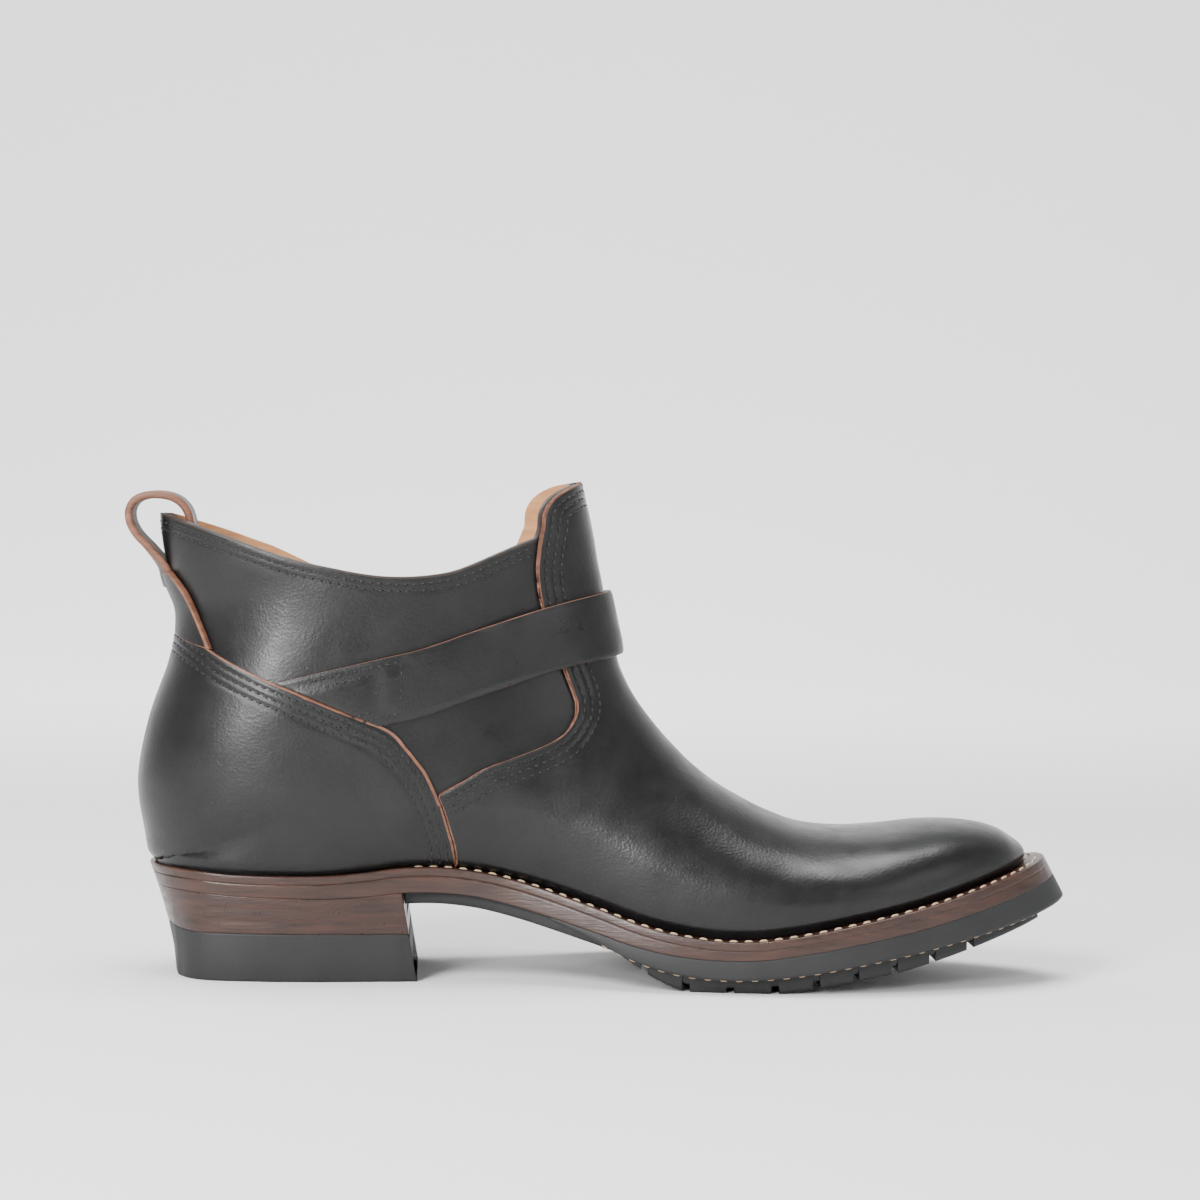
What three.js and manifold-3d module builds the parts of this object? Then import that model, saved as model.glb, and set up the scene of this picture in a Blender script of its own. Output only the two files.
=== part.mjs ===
// A left jodhpur boot, standing empty on its sole: a lasted upper with a vamp and a heel counter sewn over
// it, an ankle strap and buckle, a pull loop, and a welted leather sole with a stacked heel and a rubber
// tread. Millimetres. The origin is on the floor under the middle of the heel, +X points to the toe, +Y to
// the outer side of the foot and +Z up.
import * as THREE from "three";
import { mergeVertices } from "three/addons/utils/BufferGeometryUtils.js";
import Module from "manifold-3d";

const wasm = await Module();
wasm.setup();

// Driving dimensions
const lastLength = 288; // the lasted upper's bottom edge, heel to toe
const seatBehindOrigin = 46.4; // from the origin back to that edge's rear end
const ballWidth = 96; // the last across the joints
const upperHeight = 128; // the heel seat to the top of the front flap
const heelHeight = 35; // the floor to the heel seat
const toeSpring = 24; // how far the welt's tip stands above the welt at the ball
const wall = 2.4; // quarter leather and lining
const vampLeather = 1.8;
const counterLeather = 2.2;
const strapLeather = 2.4;
const strapWidth = 20.8;
const pullLeather = 2.2;
const pullSpan = 40; // the pull loop's height, from its lowest stitch inside to the top
const pullWidth = 18.6;
const weltThickness = 2.7;
const midsoleThickness = 2.9; // under the ball
const outsoleThickness = 6.2;
const treadDepth = 5.6;
const treadInset = 5.5;
const settle = 0.7; // what the tread under the ball is worn flat by
const lugLength = 10;
const lugGap = 2.2;
const lugGroove = 2.6;
const lugMiddle = 16; // the plain strip down the tread's middle
const waistRubber = 4; // the thinner outsole under the waist
const waistInset = 5.5; // how far it stays inside the midsole's edge
const liftThickness = 15.6; // the rubber top piece of the heel
const weltMargin = 7.6; // how far the welt stands out past the last at the ball
const backRake = 10; // how far the heel's back slopes in, floor against seat
const sideTaper = 2.6;
const toeFlare = 3; // how far the sole's edge leans out at the toe
const breastTop = 33.4; // the heel's front face at the seat, from the origin
const breastSlope = 6.4; // how far that face leans forward down to the floor
const insoleThickness = 3;
const insoleSlack = 2; // between its edge and the lining
const buckleReach = 15; // the frame along the strap
const buckleWire = 1.2; // its radius
const gap = 0.3; // between pieces that meet
const weltGap = 0.6; // between the upper's curved bottom edge and the welt

// Curves through tables

// The slope at each row of a table of numbers, from the parabola through it and its two neighbours.
function slopesOf(knots, values) {
  const secant = knots.slice(1).map((k, i) => (values[i + 1] - values[i]) / (k - knots[i]));
  return knots.map((k, i) => {
    if (i === 0) return secant[0];
    if (i === knots.length - 1) return secant[i - 1];
    const before = k - knots[i - 1];
    const after = knots[i + 1] - k;
    return (after * secant[i - 1] + before * secant[i]) / (before + after);
  });
}

// A smooth curve through rows of named columns: it returns the columns' values at a knot value.
function curveThrough(knots, rows) {
  const names = Object.keys(rows[0]);
  const values = names.map((name) => rows.map((row) => row[name]));
  const slopes = values.map((column) => slopesOf(knots, column));
  return (at) => {
    let k = 0;
    while (k < knots.length - 2 && at > knots[k + 1]) k += 1;
    const span = knots[k + 1] - knots[k];
    const t = (at - knots[k]) / span;
    const h01 = t * t * (3 - 2 * t);
    const h10 = t * (1 - t) * (1 - t);
    const h11 = t * t * (t - 1);
    return Object.fromEntries(names.map((name, c) => {
      const ends = values[c][k] * (1 - h01) + values[c][k + 1] * h01;
      return [name, ends + span * (h10 * slopes[c][k] + h11 * slopes[c][k + 1])];
    }));
  };
}

const clamp = (value, low, high) => Math.min(high, Math.max(low, value));
const smooth = (from, to, x) => {
  const t = clamp((x - from) / (to - from), 0, 1);
  return t * t * (3 - 2 * t);
};
const range = (count) => Array.from({ length: count }, (_, i) => i);
const xAt = (share) => share * lastLength - seatBehindOrigin;
const zAt = (share) => heelHeight + share * upperHeight;
const sidePoints = (rows) => rows.map(({ along, up }) => [xAt(along), zAt(up)]);

// The sole's top line from the side, at shares of the last's length. The height over the ball is a share
// of the heel's rise and a share of the toe spring; the last two columns scale the midsole and the
// outsole.
const ballStack = treadDepth - settle + outsoleThickness + midsoleThickness + weltThickness + 2 * gap;
const heelRise = heelHeight - ballStack;
const soleRows = [
  { at: -0.03, heel: 1.09, toe: 0, midsole: 1.4, outsole: 0 },
  { at: 0.03, heel: 1.07, toe: 0, midsole: 1.4, outsole: 0 },
  { at: 0.09, heel: 1.01, toe: 0, midsole: 1.4, outsole: 0 },
  { at: 0.15, heel: 0.995, toe: 0, midsole: 1.45, outsole: 0 },
  { at: 0.2, heel: 1.01, toe: 0, midsole: 1.6, outsole: 0 },
  { at: 0.245, heel: 1.08, toe: 0, midsole: 1.75, outsole: 0 },
  { at: 0.273, heel: 1.14, toe: 0, midsole: 1.8, outsole: 0 },
  { at: 0.302, heel: 1.165, toe: 0, midsole: 1.82, outsole: 0 },
  { at: 0.33, heel: 1.155, toe: 0, midsole: 1.8, outsole: 0 },
  { at: 0.372, heel: 1.08, toe: 0, midsole: 1.77, outsole: 0 },
  { at: 0.417, heel: 0.92, toe: 0, midsole: 1.75, outsole: 0 },
  { at: 0.463, heel: 0.705, toe: 0, midsole: 1.68, outsole: 0.06 },
  { at: 0.509, heel: 0.465, toe: 0, midsole: 1.55, outsole: 0.32 },
  { at: 0.554, heel: 0.225, toe: 0, midsole: 1.4, outsole: 0.68 },
  { at: 0.6, heel: 0.065, toe: 0, midsole: 1.2, outsole: 0.93 },
  { at: 0.64, heel: 0, toe: 0, midsole: 1.04, outsole: 1 },
  { at: 0.68, heel: 0, toe: 0.005, midsole: 1, outsole: 1 },
  { at: 0.728, heel: 0, toe: 0.08, midsole: 1, outsole: 1.04 },
  { at: 0.785, heel: 0, toe: 0.217, midsole: 1.08, outsole: 1.07 },
  { at: 0.844, heel: 0, toe: 0.375, midsole: 1.18, outsole: 1.1 },
  { at: 0.904, heel: 0, toe: 0.56, midsole: 1.25, outsole: 1.16 },
  { at: 0.968, heel: 0, toe: 0.79, midsole: 1.3, outsole: 1.28 },
  { at: 1.03, heel: 0, toe: 1.03, midsole: 1.3, outsole: 1.32 },
];
const soleLine = curveThrough(soleRows.map((row) => row.at), soleRows);
const soleRow = (x) => soleLine((x + seatBehindOrigin) / lastLength);
const soleTop = (x) => ballStack + soleRow(x).heel * heelRise + soleRow(x).toe * toeSpring;
const soleSlope = (x) => Math.atan(soleTop(x + 0.5) - soleTop(x - 0.5));
const midsoleBottom = (x) => weltThickness + gap + soleRow(x).midsole * midsoleThickness;
const outsoleBottom = (x) => midsoleBottom(x) + gap + Math.max(0.05, soleRow(x).outsole) * outsoleThickness;

// The outline of the last's bottom from above: half widths inside and outside the foot as shares of the
// ball width, and the sole's margin past it as a share of the welt's. Rows are spaced by an angle that is
// 0 at the heel's back and half a turn at the toe's tip. The half width passes through zero there, so both
// ends are round.
const outlineRows = [
  { at: 0, inner: 0, outer: 0, margin: 0.46 },
  { at: 0.02, inner: 0.178, outer: 0.178, margin: 0.46 },
  { at: 0.06, inner: 0.27, outer: 0.27, margin: 0.44 },
  { at: 0.11, inner: 0.3, outer: 0.302, margin: 0.4 },
  { at: 0.18, inner: 0.297, outer: 0.309, margin: 0.42 },
  { at: 0.26, inner: 0.262, outer: 0.312, margin: 0.5 },
  { at: 0.34, inner: 0.237, outer: 0.324, margin: 0.6 },
  { at: 0.42, inner: 0.25, outer: 0.356, margin: 0.74 },
  { at: 0.5, inner: 0.316, outer: 0.418, margin: 0.88 },
  { at: 0.58, inner: 0.392, outer: 0.474, margin: 0.98 },
  { at: 0.66, inner: 0.432, outer: 0.499, margin: 1 },
  { at: 0.74, inner: 0.438, outer: 0.483, margin: 1 },
  { at: 0.82, inner: 0.408, outer: 0.423, margin: 1 },
  { at: 0.89, inner: 0.342, outer: 0.332, margin: 1.02 },
  { at: 0.95, inner: 0.238, outer: 0.222, margin: 1.06 },
  { at: 0.985, inner: 0.132, outer: 0.124, margin: 1.1 },
  { at: 1, inner: 0, outer: 0, margin: 1.12 },
];
const angleAt = (share) => Math.acos(clamp(1 - 2 * share, -1, 1));
const shareAt = (angle) => (1 - Math.cos(angle)) / 2;
const mirroredRow = (row) => ({ ...row, inner: -row.inner, outer: -row.outer });
const outline = curveThrough(
  [-angleAt(0.02), ...outlineRows.map((row) => angleAt(row.at)), 2 * Math.PI - angleAt(0.985)],
  [mirroredRow(outlineRows[1]), ...outlineRows, mirroredRow(outlineRows.at(-2))],
);
const inner = -1;
const outer = 1;
const halfWidth = (row, side) => ballWidth * (side === inner ? row.inner : row.outer);
const featherHalf = (x, side) => halfWidth(outline(angleAt((x + seatBehindOrigin) / lastLength)), side);

// The last's outline at an angle, moved out by a distance, and the direction it was moved in.
function outlinePoint(angle, side, distance) {
  const place = (a) => [xAt(shareAt(a)), side * halfWidth(outline(a), side)];
  const step = 0.004;
  const [x, y] = place(angle);
  const [xBefore, yBefore] = place(angle - step);
  const [xAfter, yAfter] = place(angle + step);
  const length = Math.hypot(xAfter - xBefore, yAfter - yBefore);
  const normal = [(-side * (yAfter - yBefore)) / length, (side * (xAfter - xBefore)) / length];
  return { point: [x + normal[0] * distance, y + normal[1] * distance], normal };
}

// The sole's edge at a depth below its top line: the heel's back and sides slope in, and the toe leans
// out.
const soleEdge = (inset) => (angle, side, depth) => {
  const x = xAt(shareAt(angle));
  const { normal } = outlinePoint(angle, side, 0);
  const heelShare = 1 - smooth(breastTop, breastTop + 30, x);
  const lean = sideTaper + (backRake - sideTaper) * normal[0] ** 2;
  const rake = lean * (1 - (1 - clamp(depth / heelHeight, 0, 1)) ** 1.4) * heelShare;
  const flare = (toeFlare * clamp(normal[0], 0, 1) ** 2 * depth) / ballStack;
  return outlinePoint(angle, side, outline(angle).margin * weltMargin - rake + flare - inset).point;
};

// Solids

// A closed solid from corner points and triangles, turned the right way out.
function solidOf(points, faces) {
  const geometry = new THREE.BufferGeometry();
  geometry.setAttribute("position", new THREE.Float32BufferAttribute(points.flat(), 3));
  geometry.setIndex(faces.flat());
  const merged = mergeVertices(geometry, 1e-4);
  const index = merged.index.array;
  const triangles = [];
  for (let i = 0; i < index.length; i += 3) {
    const [a, b, c] = [index[i], index[i + 1], index[i + 2]];
    if (a !== b && b !== c && c !== a) triangles.push(a, b, c);
  }
  const made = (corners) => new wasm.Manifold(new wasm.Mesh({
    numProp: 3,
    vertProperties: merged.attributes.position.array,
    triVerts: new Uint32Array(corners),
  }));
  const solid = made(triangles);
  return solid.volume() < 0 ? made(triangles.reverse()) : solid;
}

const quad = (a, b, c, d) => [[a, b, c], [a, c, d]];

// A solid through closed rings of equally many points, an even number, with strips across its ends unless
// it is closed up.
function loft(rings, closed = false) {
  const count = rings[0].length;
  const points = rings.flat();
  const faces = [];
  range(closed ? rings.length : rings.length - 1).forEach((r) => {
    const next = ((r + 1) % rings.length) * count;
    range(count).forEach((i) => {
      const j = (i + 1) % count;
      faces.push(...quad(r * count + i, r * count + j, next + j, next + i));
    });
  });
  if (!closed) {
    const last = (rings.length - 1) * count;
    range(count / 2 - 1).forEach((i) => {
      const strip = [i, i + 1, count - 2 - i, count - 1 - i];
      faces.push(...quad(...strip.map((c) => last + c)), ...quad(...strip.reverse()));
    });
  }
  return solidOf(points, faces);
}

// A side-view outline pushed through from one width to another.
function prism(outlinePoints, from, to) {
  const flat = outlinePoints.map(([x, z]) => new THREE.Vector2(x, z));
  const count = flat.length;
  const points = [from, to].flatMap((y) => outlinePoints.map(([x, z]) => [x, y, z]));
  const faces = THREE.ShapeUtils.triangulateShape(flat, []).flatMap(([a, b, c]) => [
    [a, b, c], [a + count, c + count, b + count],
  ]);
  const turned = THREE.ShapeUtils.area(flat) > 0;
  range(count).forEach((i) => {
    const j = (i + 1) % count;
    const side = [i, i + count, j + count, j];
    faces.push(...(turned ? quad(...side) : quad(...side.reverse())));
  });
  return solidOf(points, faces);
}

const farOut = 400;
const sideOf = (side, points) => (side === inner ? prism(points, -farOut, 0) : prism(points, 0, farOut));

// A side-view line moved sideways by a distance, to the left of its direction.
function shifted(points, distance) {
  return points.map(([x, z], i) => {
    const [xa, za] = points[Math.max(0, i - 1)];
    const [xb, zb] = points[Math.min(points.length - 1, i + 1)];
    const length = Math.hypot(xb - xa, zb - za);
    return [x - (distance * (zb - za)) / length, z + (distance * (xb - xa)) / length];
  });
}

// Extra points between the rows of a side-view line, along a smooth curve.
function softened(points, steps) {
  const knots = points.map((_, i) => i);
  const curve = curveThrough(knots, points.map(([x, z]) => ({ x, z })));
  return range((points.length - 1) * steps + 1).map((i) => {
    const { x, z } = curve(i / steps);
    return [x, z];
  });
}

// Sole

// A layer of the sole between two depths below its top line, each a function of the place along it.
function soleLayer(topDepth, bottomDepth, edge, stations, levels = 1) {
  const angles = range(stations + 1).map((i) => (Math.PI * i) / stations);
  const at = (angle, side, share) => {
    const x0 = xAt(shareAt(angle));
    const depth = topDepth(x0) + (bottomDepth(x0) - topDepth(x0)) * share;
    const [x, y] = edge(angle, side, depth);
    const slope = soleSlope(x0);
    const z = soleTop(x0) + (x - x0) * Math.tan(slope) - depth * Math.cos(slope);
    return [x + depth * Math.sin(slope), y, z];
  };
  const points = [];
  const index = {};
  angles.forEach((angle, k) => [inner, outer].forEach((side) => range(levels + 1).forEach((level) => {
    index[[k, side, level]] = points.length;
    points.push(at(angle, side, level / levels));
  })));
  const faces = [];
  range(stations).forEach((k) => {
    const corner = (dk, side, level) => index[[k + dk, side, level]];
    faces.push(...quad(corner(0, inner, 0), corner(1, inner, 0), corner(1, outer, 0), corner(0, outer, 0)));
    faces.push(...quad(
      corner(0, outer, levels), corner(1, outer, levels), corner(1, inner, levels), corner(0, inner, levels),
    ));
    range(levels).forEach((level) => {
      const wallOf = (side) => quad(
        corner(0, side, level + 1), corner(1, side, level + 1),
        corner(1, side, level), corner(0, side, level),
      );
      faces.push(...wallOf(inner));
      faces.push(...wallOf(outer).map((face) => face.reverse()));
    });
  });
  return solidOf(points, faces);
}

const below = (z) => prism(
  [[-farOut, z], [farOut, z], [farOut, -farOut], [-farOut, -farOut]], -farOut, farOut,
);
const breastAt = (z) => breastTop + breastSlope * (1 - z / heelHeight);
const behindBreast = (clearance) => prism([
  [-farOut, farOut], [-farOut, -farOut], [breastAt(-heelHeight) - clearance, -heelHeight],
  [breastAt(2 * heelHeight) - clearance, 2 * heelHeight], [breastAt(2 * heelHeight) - clearance, farOut],
], -farOut, farOut);

const soleStations = 40;
const welt = soleLayer(() => 0, () => weltThickness, soleEdge(0), soleStations);
const midsole = soleLayer(() => weltThickness + gap, midsoleBottom, soleEdge(0), soleStations);
const heelBlock = soleLayer((x) => midsoleBottom(x) + gap, () => heelHeight * 1.2, soleEdge(0), 30, 6)
  .intersect(behindBreast(0));
const liftRows = [
  { along: -0.06, over: 0.16 },
  { along: 0.012, over: 0.11 },
  { along: 0.03, over: 0.04 },
  { along: 0.06, over: 0.01 },
  { along: 0.4, over: 0 },
];
const liftLine = (clearance) => liftRows
  .map(({ along, over }) => [xAt(along), liftThickness * (1 + over) - clearance]);
const underLine = (clearance) => prism(
  [...liftLine(clearance), [xAt(0.4), -farOut], [xAt(-0.06), -farOut]], -farOut, farOut,
);
const heelLift = heelBlock.intersect(underLine(gap)).subtract(below(0));
const heelStack = heelBlock.subtract(underLine(0));

// The outsole: the full sole in front, a thinner strip under the waist, and a tread of low bars set in
// from the rim.
const outsoleStart = 0.463;
const waistEnd = 0.56;
const outsoleTop = (x) => midsoleBottom(x) + gap;
const between = (from, to) => prism(
  [[from, -farOut], [to, -farOut], [to, farOut], [from, farOut]], -farOut, farOut,
);
const forePart = soleLayer(outsoleTop, outsoleBottom, soleEdge(0), soleStations)
  .intersect(between(xAt(outsoleStart), farOut));
const waistBottom = (x) => outsoleTop(x) + waistRubber;
const waistPart = soleLayer(outsoleTop, waistBottom, soleEdge(waistInset), soleStations)
  .intersect(between(breastTop, xAt(waistEnd)))
  .subtract(behindBreast(-gap));
const treadStart = 0.52;
const treadEnd = 0.985;
const treadFade = 0.6; // how much of its depth the tread loses at the toe
const treadAt = (x) => treadDepth * smooth(xAt(treadStart), xAt(0.62), x)
  * (1 - treadFade * smooth(xAt(0.8), xAt(1.02), x));
const tread = soleLayer(outsoleTop, (x) => outsoleBottom(x) + treadAt(x), soleEdge(treadInset), soleStations)
  .intersect(between(xAt(treadStart), xAt(treadEnd)));
const lugPitch = lugLength + lugGap;
const firstGroove = 0.565;
const grooveCount = 9;
const grooves = range(grooveCount).map((i) => {
  const x = xAt(firstGroove) + i * lugPitch;
  const z = soleTop(x) - outsoleBottom(x) - treadDepth + lugGroove;
  const bent = (side) => prism(
    [[x, -farOut], [x + lugGap, -farOut], [x + lugGap, z], [x, z]], side * ballWidth, (side * lugMiddle) / 2,
  );
  return bent(inner).add(bent(outer));
});
const outsole = grooves.reduce((solid, groove) => solid.subtract(groove), forePart.add(waistPart).add(tread))
  .subtract(below(0));

const insoleInset = wall + insoleSlack;
const insoleEdge = (angle, side) => outlinePoint(angle, side, -insoleInset).point;
const insole = soleLayer(() => -gap - insoleThickness, () => -gap, insoleEdge, soleStations);

// Upper

// Slanted sections of the upper from the toe's tip back to the heel's and up to the collar. In the side
// view each runs from a bottom point to a crest point, as shares along the last and up the upper; lift is
// the bottom point's height above the sole line, which is zero along the welt. The half widths are shares
// of the ball width, widest is the place of the widest point between bottom and crest, and below and above
// are how full the section is under and over it.
const sectionColumns = ["bottom", "lift", "crest", "top", "inner", "outer", "widest", "below", "above"];
const sectionRows = [
  [1.001, 0.017, 1.001, 0.052, 0, 0, 0.5, 2, 2],
  [1, 0, 0.998, 0.067, 0.05, 0.05, 0.5, 2, 2],
  [0.994, 0, 0.988, 0.085, 0.1, 0.097, 0.42, 2, 2],
  [0.977, 0, 0.969, 0.109, 0.182, 0.172, 0.35, 2, 2.1],
  [0.946, 0, 0.939, 0.123, 0.265, 0.247, 0.3, 2, 2.2],
  [0.901, 0, 0.892, 0.125, 0.346, 0.332, 0.28, 2, 2.25],
  [0.849, 0, 0.84, 0.11, 0.408, 0.412, 0.27, 2, 2.2],
  [0.793, 0, 0.788, 0.102, 0.443, 0.473, 0.27, 2, 2.1],
  [0.738, 0, 0.739, 0.114, 0.458, 0.511, 0.28, 2, 2],
  [0.678, 0, 0.689, 0.156, 0.456, 0.522, 0.3, 2, 1.9],
  [0.616, 0, 0.642, 0.216, 0.435, 0.51, 0.32, 2, 1.82],
  [0.547, 0, 0.6, 0.291, 0.4, 0.478, 0.34, 2, 1.78],
  [0.467, 0, 0.566, 0.372, 0.356, 0.428, 0.36, 1.8, 1.8],
  [0.373, 0, 0.54, 0.45, 0.328, 0.384, 0.36, 1.6, 1.85],
  [0.272, 0, 0.524, 0.519, 0.33, 0.364, 0.34, 1.5, 1.92],
  [0.178, 0, 0.518, 0.562, 0.343, 0.36, 0.33, 1.5, 2],
  [0.092, 0, 0.515, 0.598, 0.352, 0.364, 0.33, 1.55, 2.05],
  [0.027, 0, 0.511, 0.633, 0.358, 0.366, 0.33, 1.85, 2.1],
  [0, 0, 0.508, 0.664, 0.36, 0.366, 0.33, 2.2, 2.15],
  [-0.01, 0.08, 0.505, 0.695, 0.36, 0.365, 0.33, 2.25, 2.2],
  [-0.018, 0.213, 0.5, 0.746, 0.358, 0.362, 0.35, 2.25, 2.2],
  [-0.006, 0.369, 0.494, 0.809, 0.353, 0.357, 0.38, 2.2, 2.22],
  [0.016, 0.52, 0.489, 0.871, 0.35, 0.354, 0.42, 2.2, 2.25],
  [0.022, 0.642, 0.484, 0.922, 0.352, 0.355, 0.45, 2.3, 2.3],
  [0.007, 0.736, 0.479, 0.969, 0.358, 0.36, 0.47, 2.3, 2.3],
  [-0.004, 0.849, 0.474, 1.02, 0.364, 0.366, 0.48, 2.3, 2.3],
  [-0.007, 0.963, 0.47, 1.07, 0.37, 0.37, 0.48, 2.3, 2.3],
].map((row) => Object.fromEntries(sectionColumns.map((name, i) => [name, row[i]])));
const toeSection = 1; // the section whose bottom point is the toe's tip on the welt
const heelSection = 18; // and the heel's
const lastSection = sectionRows.length - 1;
const tipSection = sectionRows[toeSection];
const ghostSection = {
  ...tipSection,
  bottom: tipSection.crest,
  lift: 0.03,
  crest: tipSection.bottom,
  top: 0.035,
  inner: -tipSection.inner,
  outer: -tipSection.outer,
};
const sections = curveThrough([-1, ...range(sectionRows.length)], [ghostSection, ...sectionRows]);

// A point of the upper's outside: at a section, on a side of the foot, at a share of the way from its
// bottom (0) past its widest point (the share widestShare) to its crest (1).
const widestShare = 0.4;
function upperPoint(section, side, share) {
  const row = sections(section);
  const onWelt = section >= toeSection && section <= heelSection;
  const bottomX = section > heelSection ? xAt(row.bottom) : Math.max(xAt(row.bottom), xAt(0));
  const lift = onWelt ? 0 : Math.max(0, row.lift) * upperHeight;
  const bottomZ = soleTop(bottomX) + weltGap + lift;
  const bottomHalf = onWelt ? featherHalf(bottomX, side) : 0;
  const widestHalf = halfWidth(row, side);
  const part = share < widestShare ? share / widestShare : (share - widestShare) / (1 - widestShare);
  const turn = (Math.PI / 2) * part;
  const across = share < widestShare ? Math.sin(turn) ** (2 / row.below) : Math.cos(turn) ** (2 / row.above);
  const up = share < widestShare
    ? row.widest * (1 - Math.cos(turn) ** (2 / row.below))
    : row.widest + (1 - row.widest) * Math.sin(turn) ** (2 / row.above);
  const half = share < widestShare ? bottomHalf + (widestHalf - bottomHalf) * across : widestHalf * across;
  return [
    bottomX + (xAt(row.crest) - bottomX) * up,
    side * Math.max(0, half),
    bottomZ + (zAt(row.top) - bottomZ) * up,
  ];
}

// The grid of the upper's outside and its normals. Places that coincide, at the crest, the closed heel and
// the toe's tip, share one.
const upperStations = [
  0, 0.5, 1, 1.5, 2, 2.5, 3, 3.5, 4, 4.6, 5.2, 5.8, 6.4, 7, 7.6, 8.2, 8.8, 9.4, 10, 10.6, 11.2, 11.8, 12.4,
  13, 13.6, 14.3, 15, 15.7, 16.4, 17, 17.5, 18, 18.5, 19, 19.6, 20.2, 20.8, 21.4, 22, 22.6, 23.2, 23.8, 24.4,
  25, 26,
];
const ringShares = [0, 0.13, 0.26, 0.4, 0.5, 0.6, 0.7, 0.8, 0.9, 1];
function surfaceGrid() {
  const places = [];
  const known = new Map();
  const at = {};
  upperStations.forEach((section, k) => [inner, outer].forEach((side) => ringShares.forEach((share, j) => {
    const place = upperPoint(section, side, share);
    const key = place.map((v) => Math.round(v * 1e3)).join();
    if (!known.has(key)) {
      known.set(key, places.length);
      places.push({ place: new THREE.Vector3(...place), normal: new THREE.Vector3(), section, share });
    }
    at[[k, side, j]] = known.get(key);
  })));
  const faces = [];
  range(upperStations.length - 1).forEach((k) => range(ringShares.length - 1).forEach((j) => {
    const corners = (side) => [[0, 0], [1, 0], [1, 1], [0, 1]].map(([dk, dj]) => at[[k + dk, side, j + dj]]);
    faces.push(...quad(...corners(inner)), ...quad(...corners(outer).reverse()));
  }));
  faces.forEach(([a, b, c]) => {
    const [pa, pb, pc] = [a, b, c].map((i) => places[i].place);
    const normal = pb.clone().sub(pa).cross(pc.clone().sub(pa));
    [a, b, c].forEach((i) => places[i].normal.add(normal));
  });
  const outward = Math.sign(places[at[[20, outer, 4]]].normal.y);
  places.forEach((p) => {
    const slope = soleSlope(p.place.x);
    const up = new THREE.Vector3(-Math.sin(slope), 0, Math.cos(slope));
    const rise = p.normal.dot(up);
    const onWelt = p.share === 0 && p.section >= toeSection && p.section <= heelSection;
    const byWelt = p.section < toeSection || (p.section <= heelSection && p.share < 0.25);
    const downward = byWelt && rise * outward < 0;
    if (onWelt || downward) p.normal.addScaledVector(up, -rise);
    p.normal.normalize().multiplyScalar(outward);
  });
  return { places, at };
}
const grid = surfaceGrid();

// A shell between two distances out from the upper's outside, open at the collar and along the welt.
function shell(from, to) {
  const { places, at } = grid;
  const points = [from, to].flatMap((distance) => places.map(({ place, normal }) => place
    .clone().addScaledVector(normal, distance).toArray()));
  const far = places.length;
  const faces = [];
  const add = (side, ...corners) => faces.push(...quad(...(side === inner ? corners : corners.reverse())));
  range(upperStations.length - 1).forEach((k) => [inner, outer].forEach((side) => {
    const id = (dk, j) => at[[k + dk, side, j]];
    range(ringShares.length - 1).forEach((j) => {
      add(side, far + id(0, j), far + id(1, j), far + id(1, j + 1), far + id(0, j + 1));
      add(side, id(0, j), id(0, j + 1), id(1, j + 1), id(1, j));
      if (k === upperStations.length - 2) {
        add(side, id(1, j), id(1, j + 1), far + id(1, j + 1), far + id(1, j));
      }
    });
    if (upperStations[k] >= toeSection && upperStations[k + 1] <= heelSection) {
      add(side, far + id(1, 0), far + id(0, 0), id(0, 0), id(1, 0));
    }
  }));
  return solidOf(points, faces);
}

// Side-view lines of the upper's edges, as shares along the last and up the upper.
const collarRows = [
  { along: -0.03, up: 0.925 },
  { along: -0.003, up: 0.914 },
  { along: 0.03, up: 0.892 },
  { along: 0.067, up: 0.866 },
  { along: 0.102, up: 0.839 },
  { along: 0.148, up: 0.807 },
  { along: 0.194, up: 0.786 },
  { along: 0.239, up: 0.77 },
  { along: 0.273, up: 0.766 },
  { along: 0.307, up: 0.771 },
  { along: 0.34, up: 0.786 },
  { along: 0.385, up: 0.828 },
  { along: 0.42, up: 0.862 },
];
const flapRows = [
  { along: 0.428, up: 0.868 },
  { along: 0.432, up: 0.893 },
  { along: 0.433, up: 0.928 },
  { along: 0.438, up: 0.955 },
  { along: 0.446, up: 0.975 },
  { along: 0.46, up: 0.995 },
  { along: 0.478, up: 1.01 },
  { along: 0.51, up: 1.02 },
];
const flapSetBack = 3.2; // how much farther back the outer side's flap edge runs
const collarDip = 5.5; // how much lower the outer side's collar dips below the ankle bone
const counterRows = [
  { along: -0.05, up: 0.645 },
  { along: 0.018, up: 0.622 },
  { along: 0.05, up: 0.586 },
  { along: 0.073, up: 0.554 },
  { along: 0.097, up: 0.527 },
  { along: 0.132, up: 0.493 },
  { along: 0.167, up: 0.463 },
  { along: 0.202, up: 0.43 },
  { along: 0.236, up: 0.398 },
  { along: 0.26, up: 0.373 },
  { along: 0.283, up: 0.331 },
  { along: 0.299, up: 0.29 },
  { along: 0.307, up: 0.265 },
  { along: 0.32, up: 0.204 },
  { along: 0.332, up: 0.129 },
  { along: 0.339, up: 0.062 },
  { along: 0.342, up: -0.05 },
];
const vampRows = [
  { along: 0.432, up: 0.92 },
  { along: 0.4285, up: 0.85 },
  { along: 0.427, up: 0.78 },
  { along: 0.433, up: 0.695 },
  { along: 0.446, up: 0.615 },
  { along: 0.459, up: 0.535 },
  { along: 0.472, up: 0.461 },
  { along: 0.4745, up: 0.435 },
  { along: 0.473, up: 0.409 },
  { along: 0.465, up: 0.377 },
  { along: 0.452, up: 0.352 },
  { along: 0.427, up: 0.326 },
  { along: 0.392, up: 0.298 },
  { along: 0.369, up: 0.278 },
  { along: 0.347, up: 0.249 },
  { along: 0.3, up: 0.19 },
];
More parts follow.
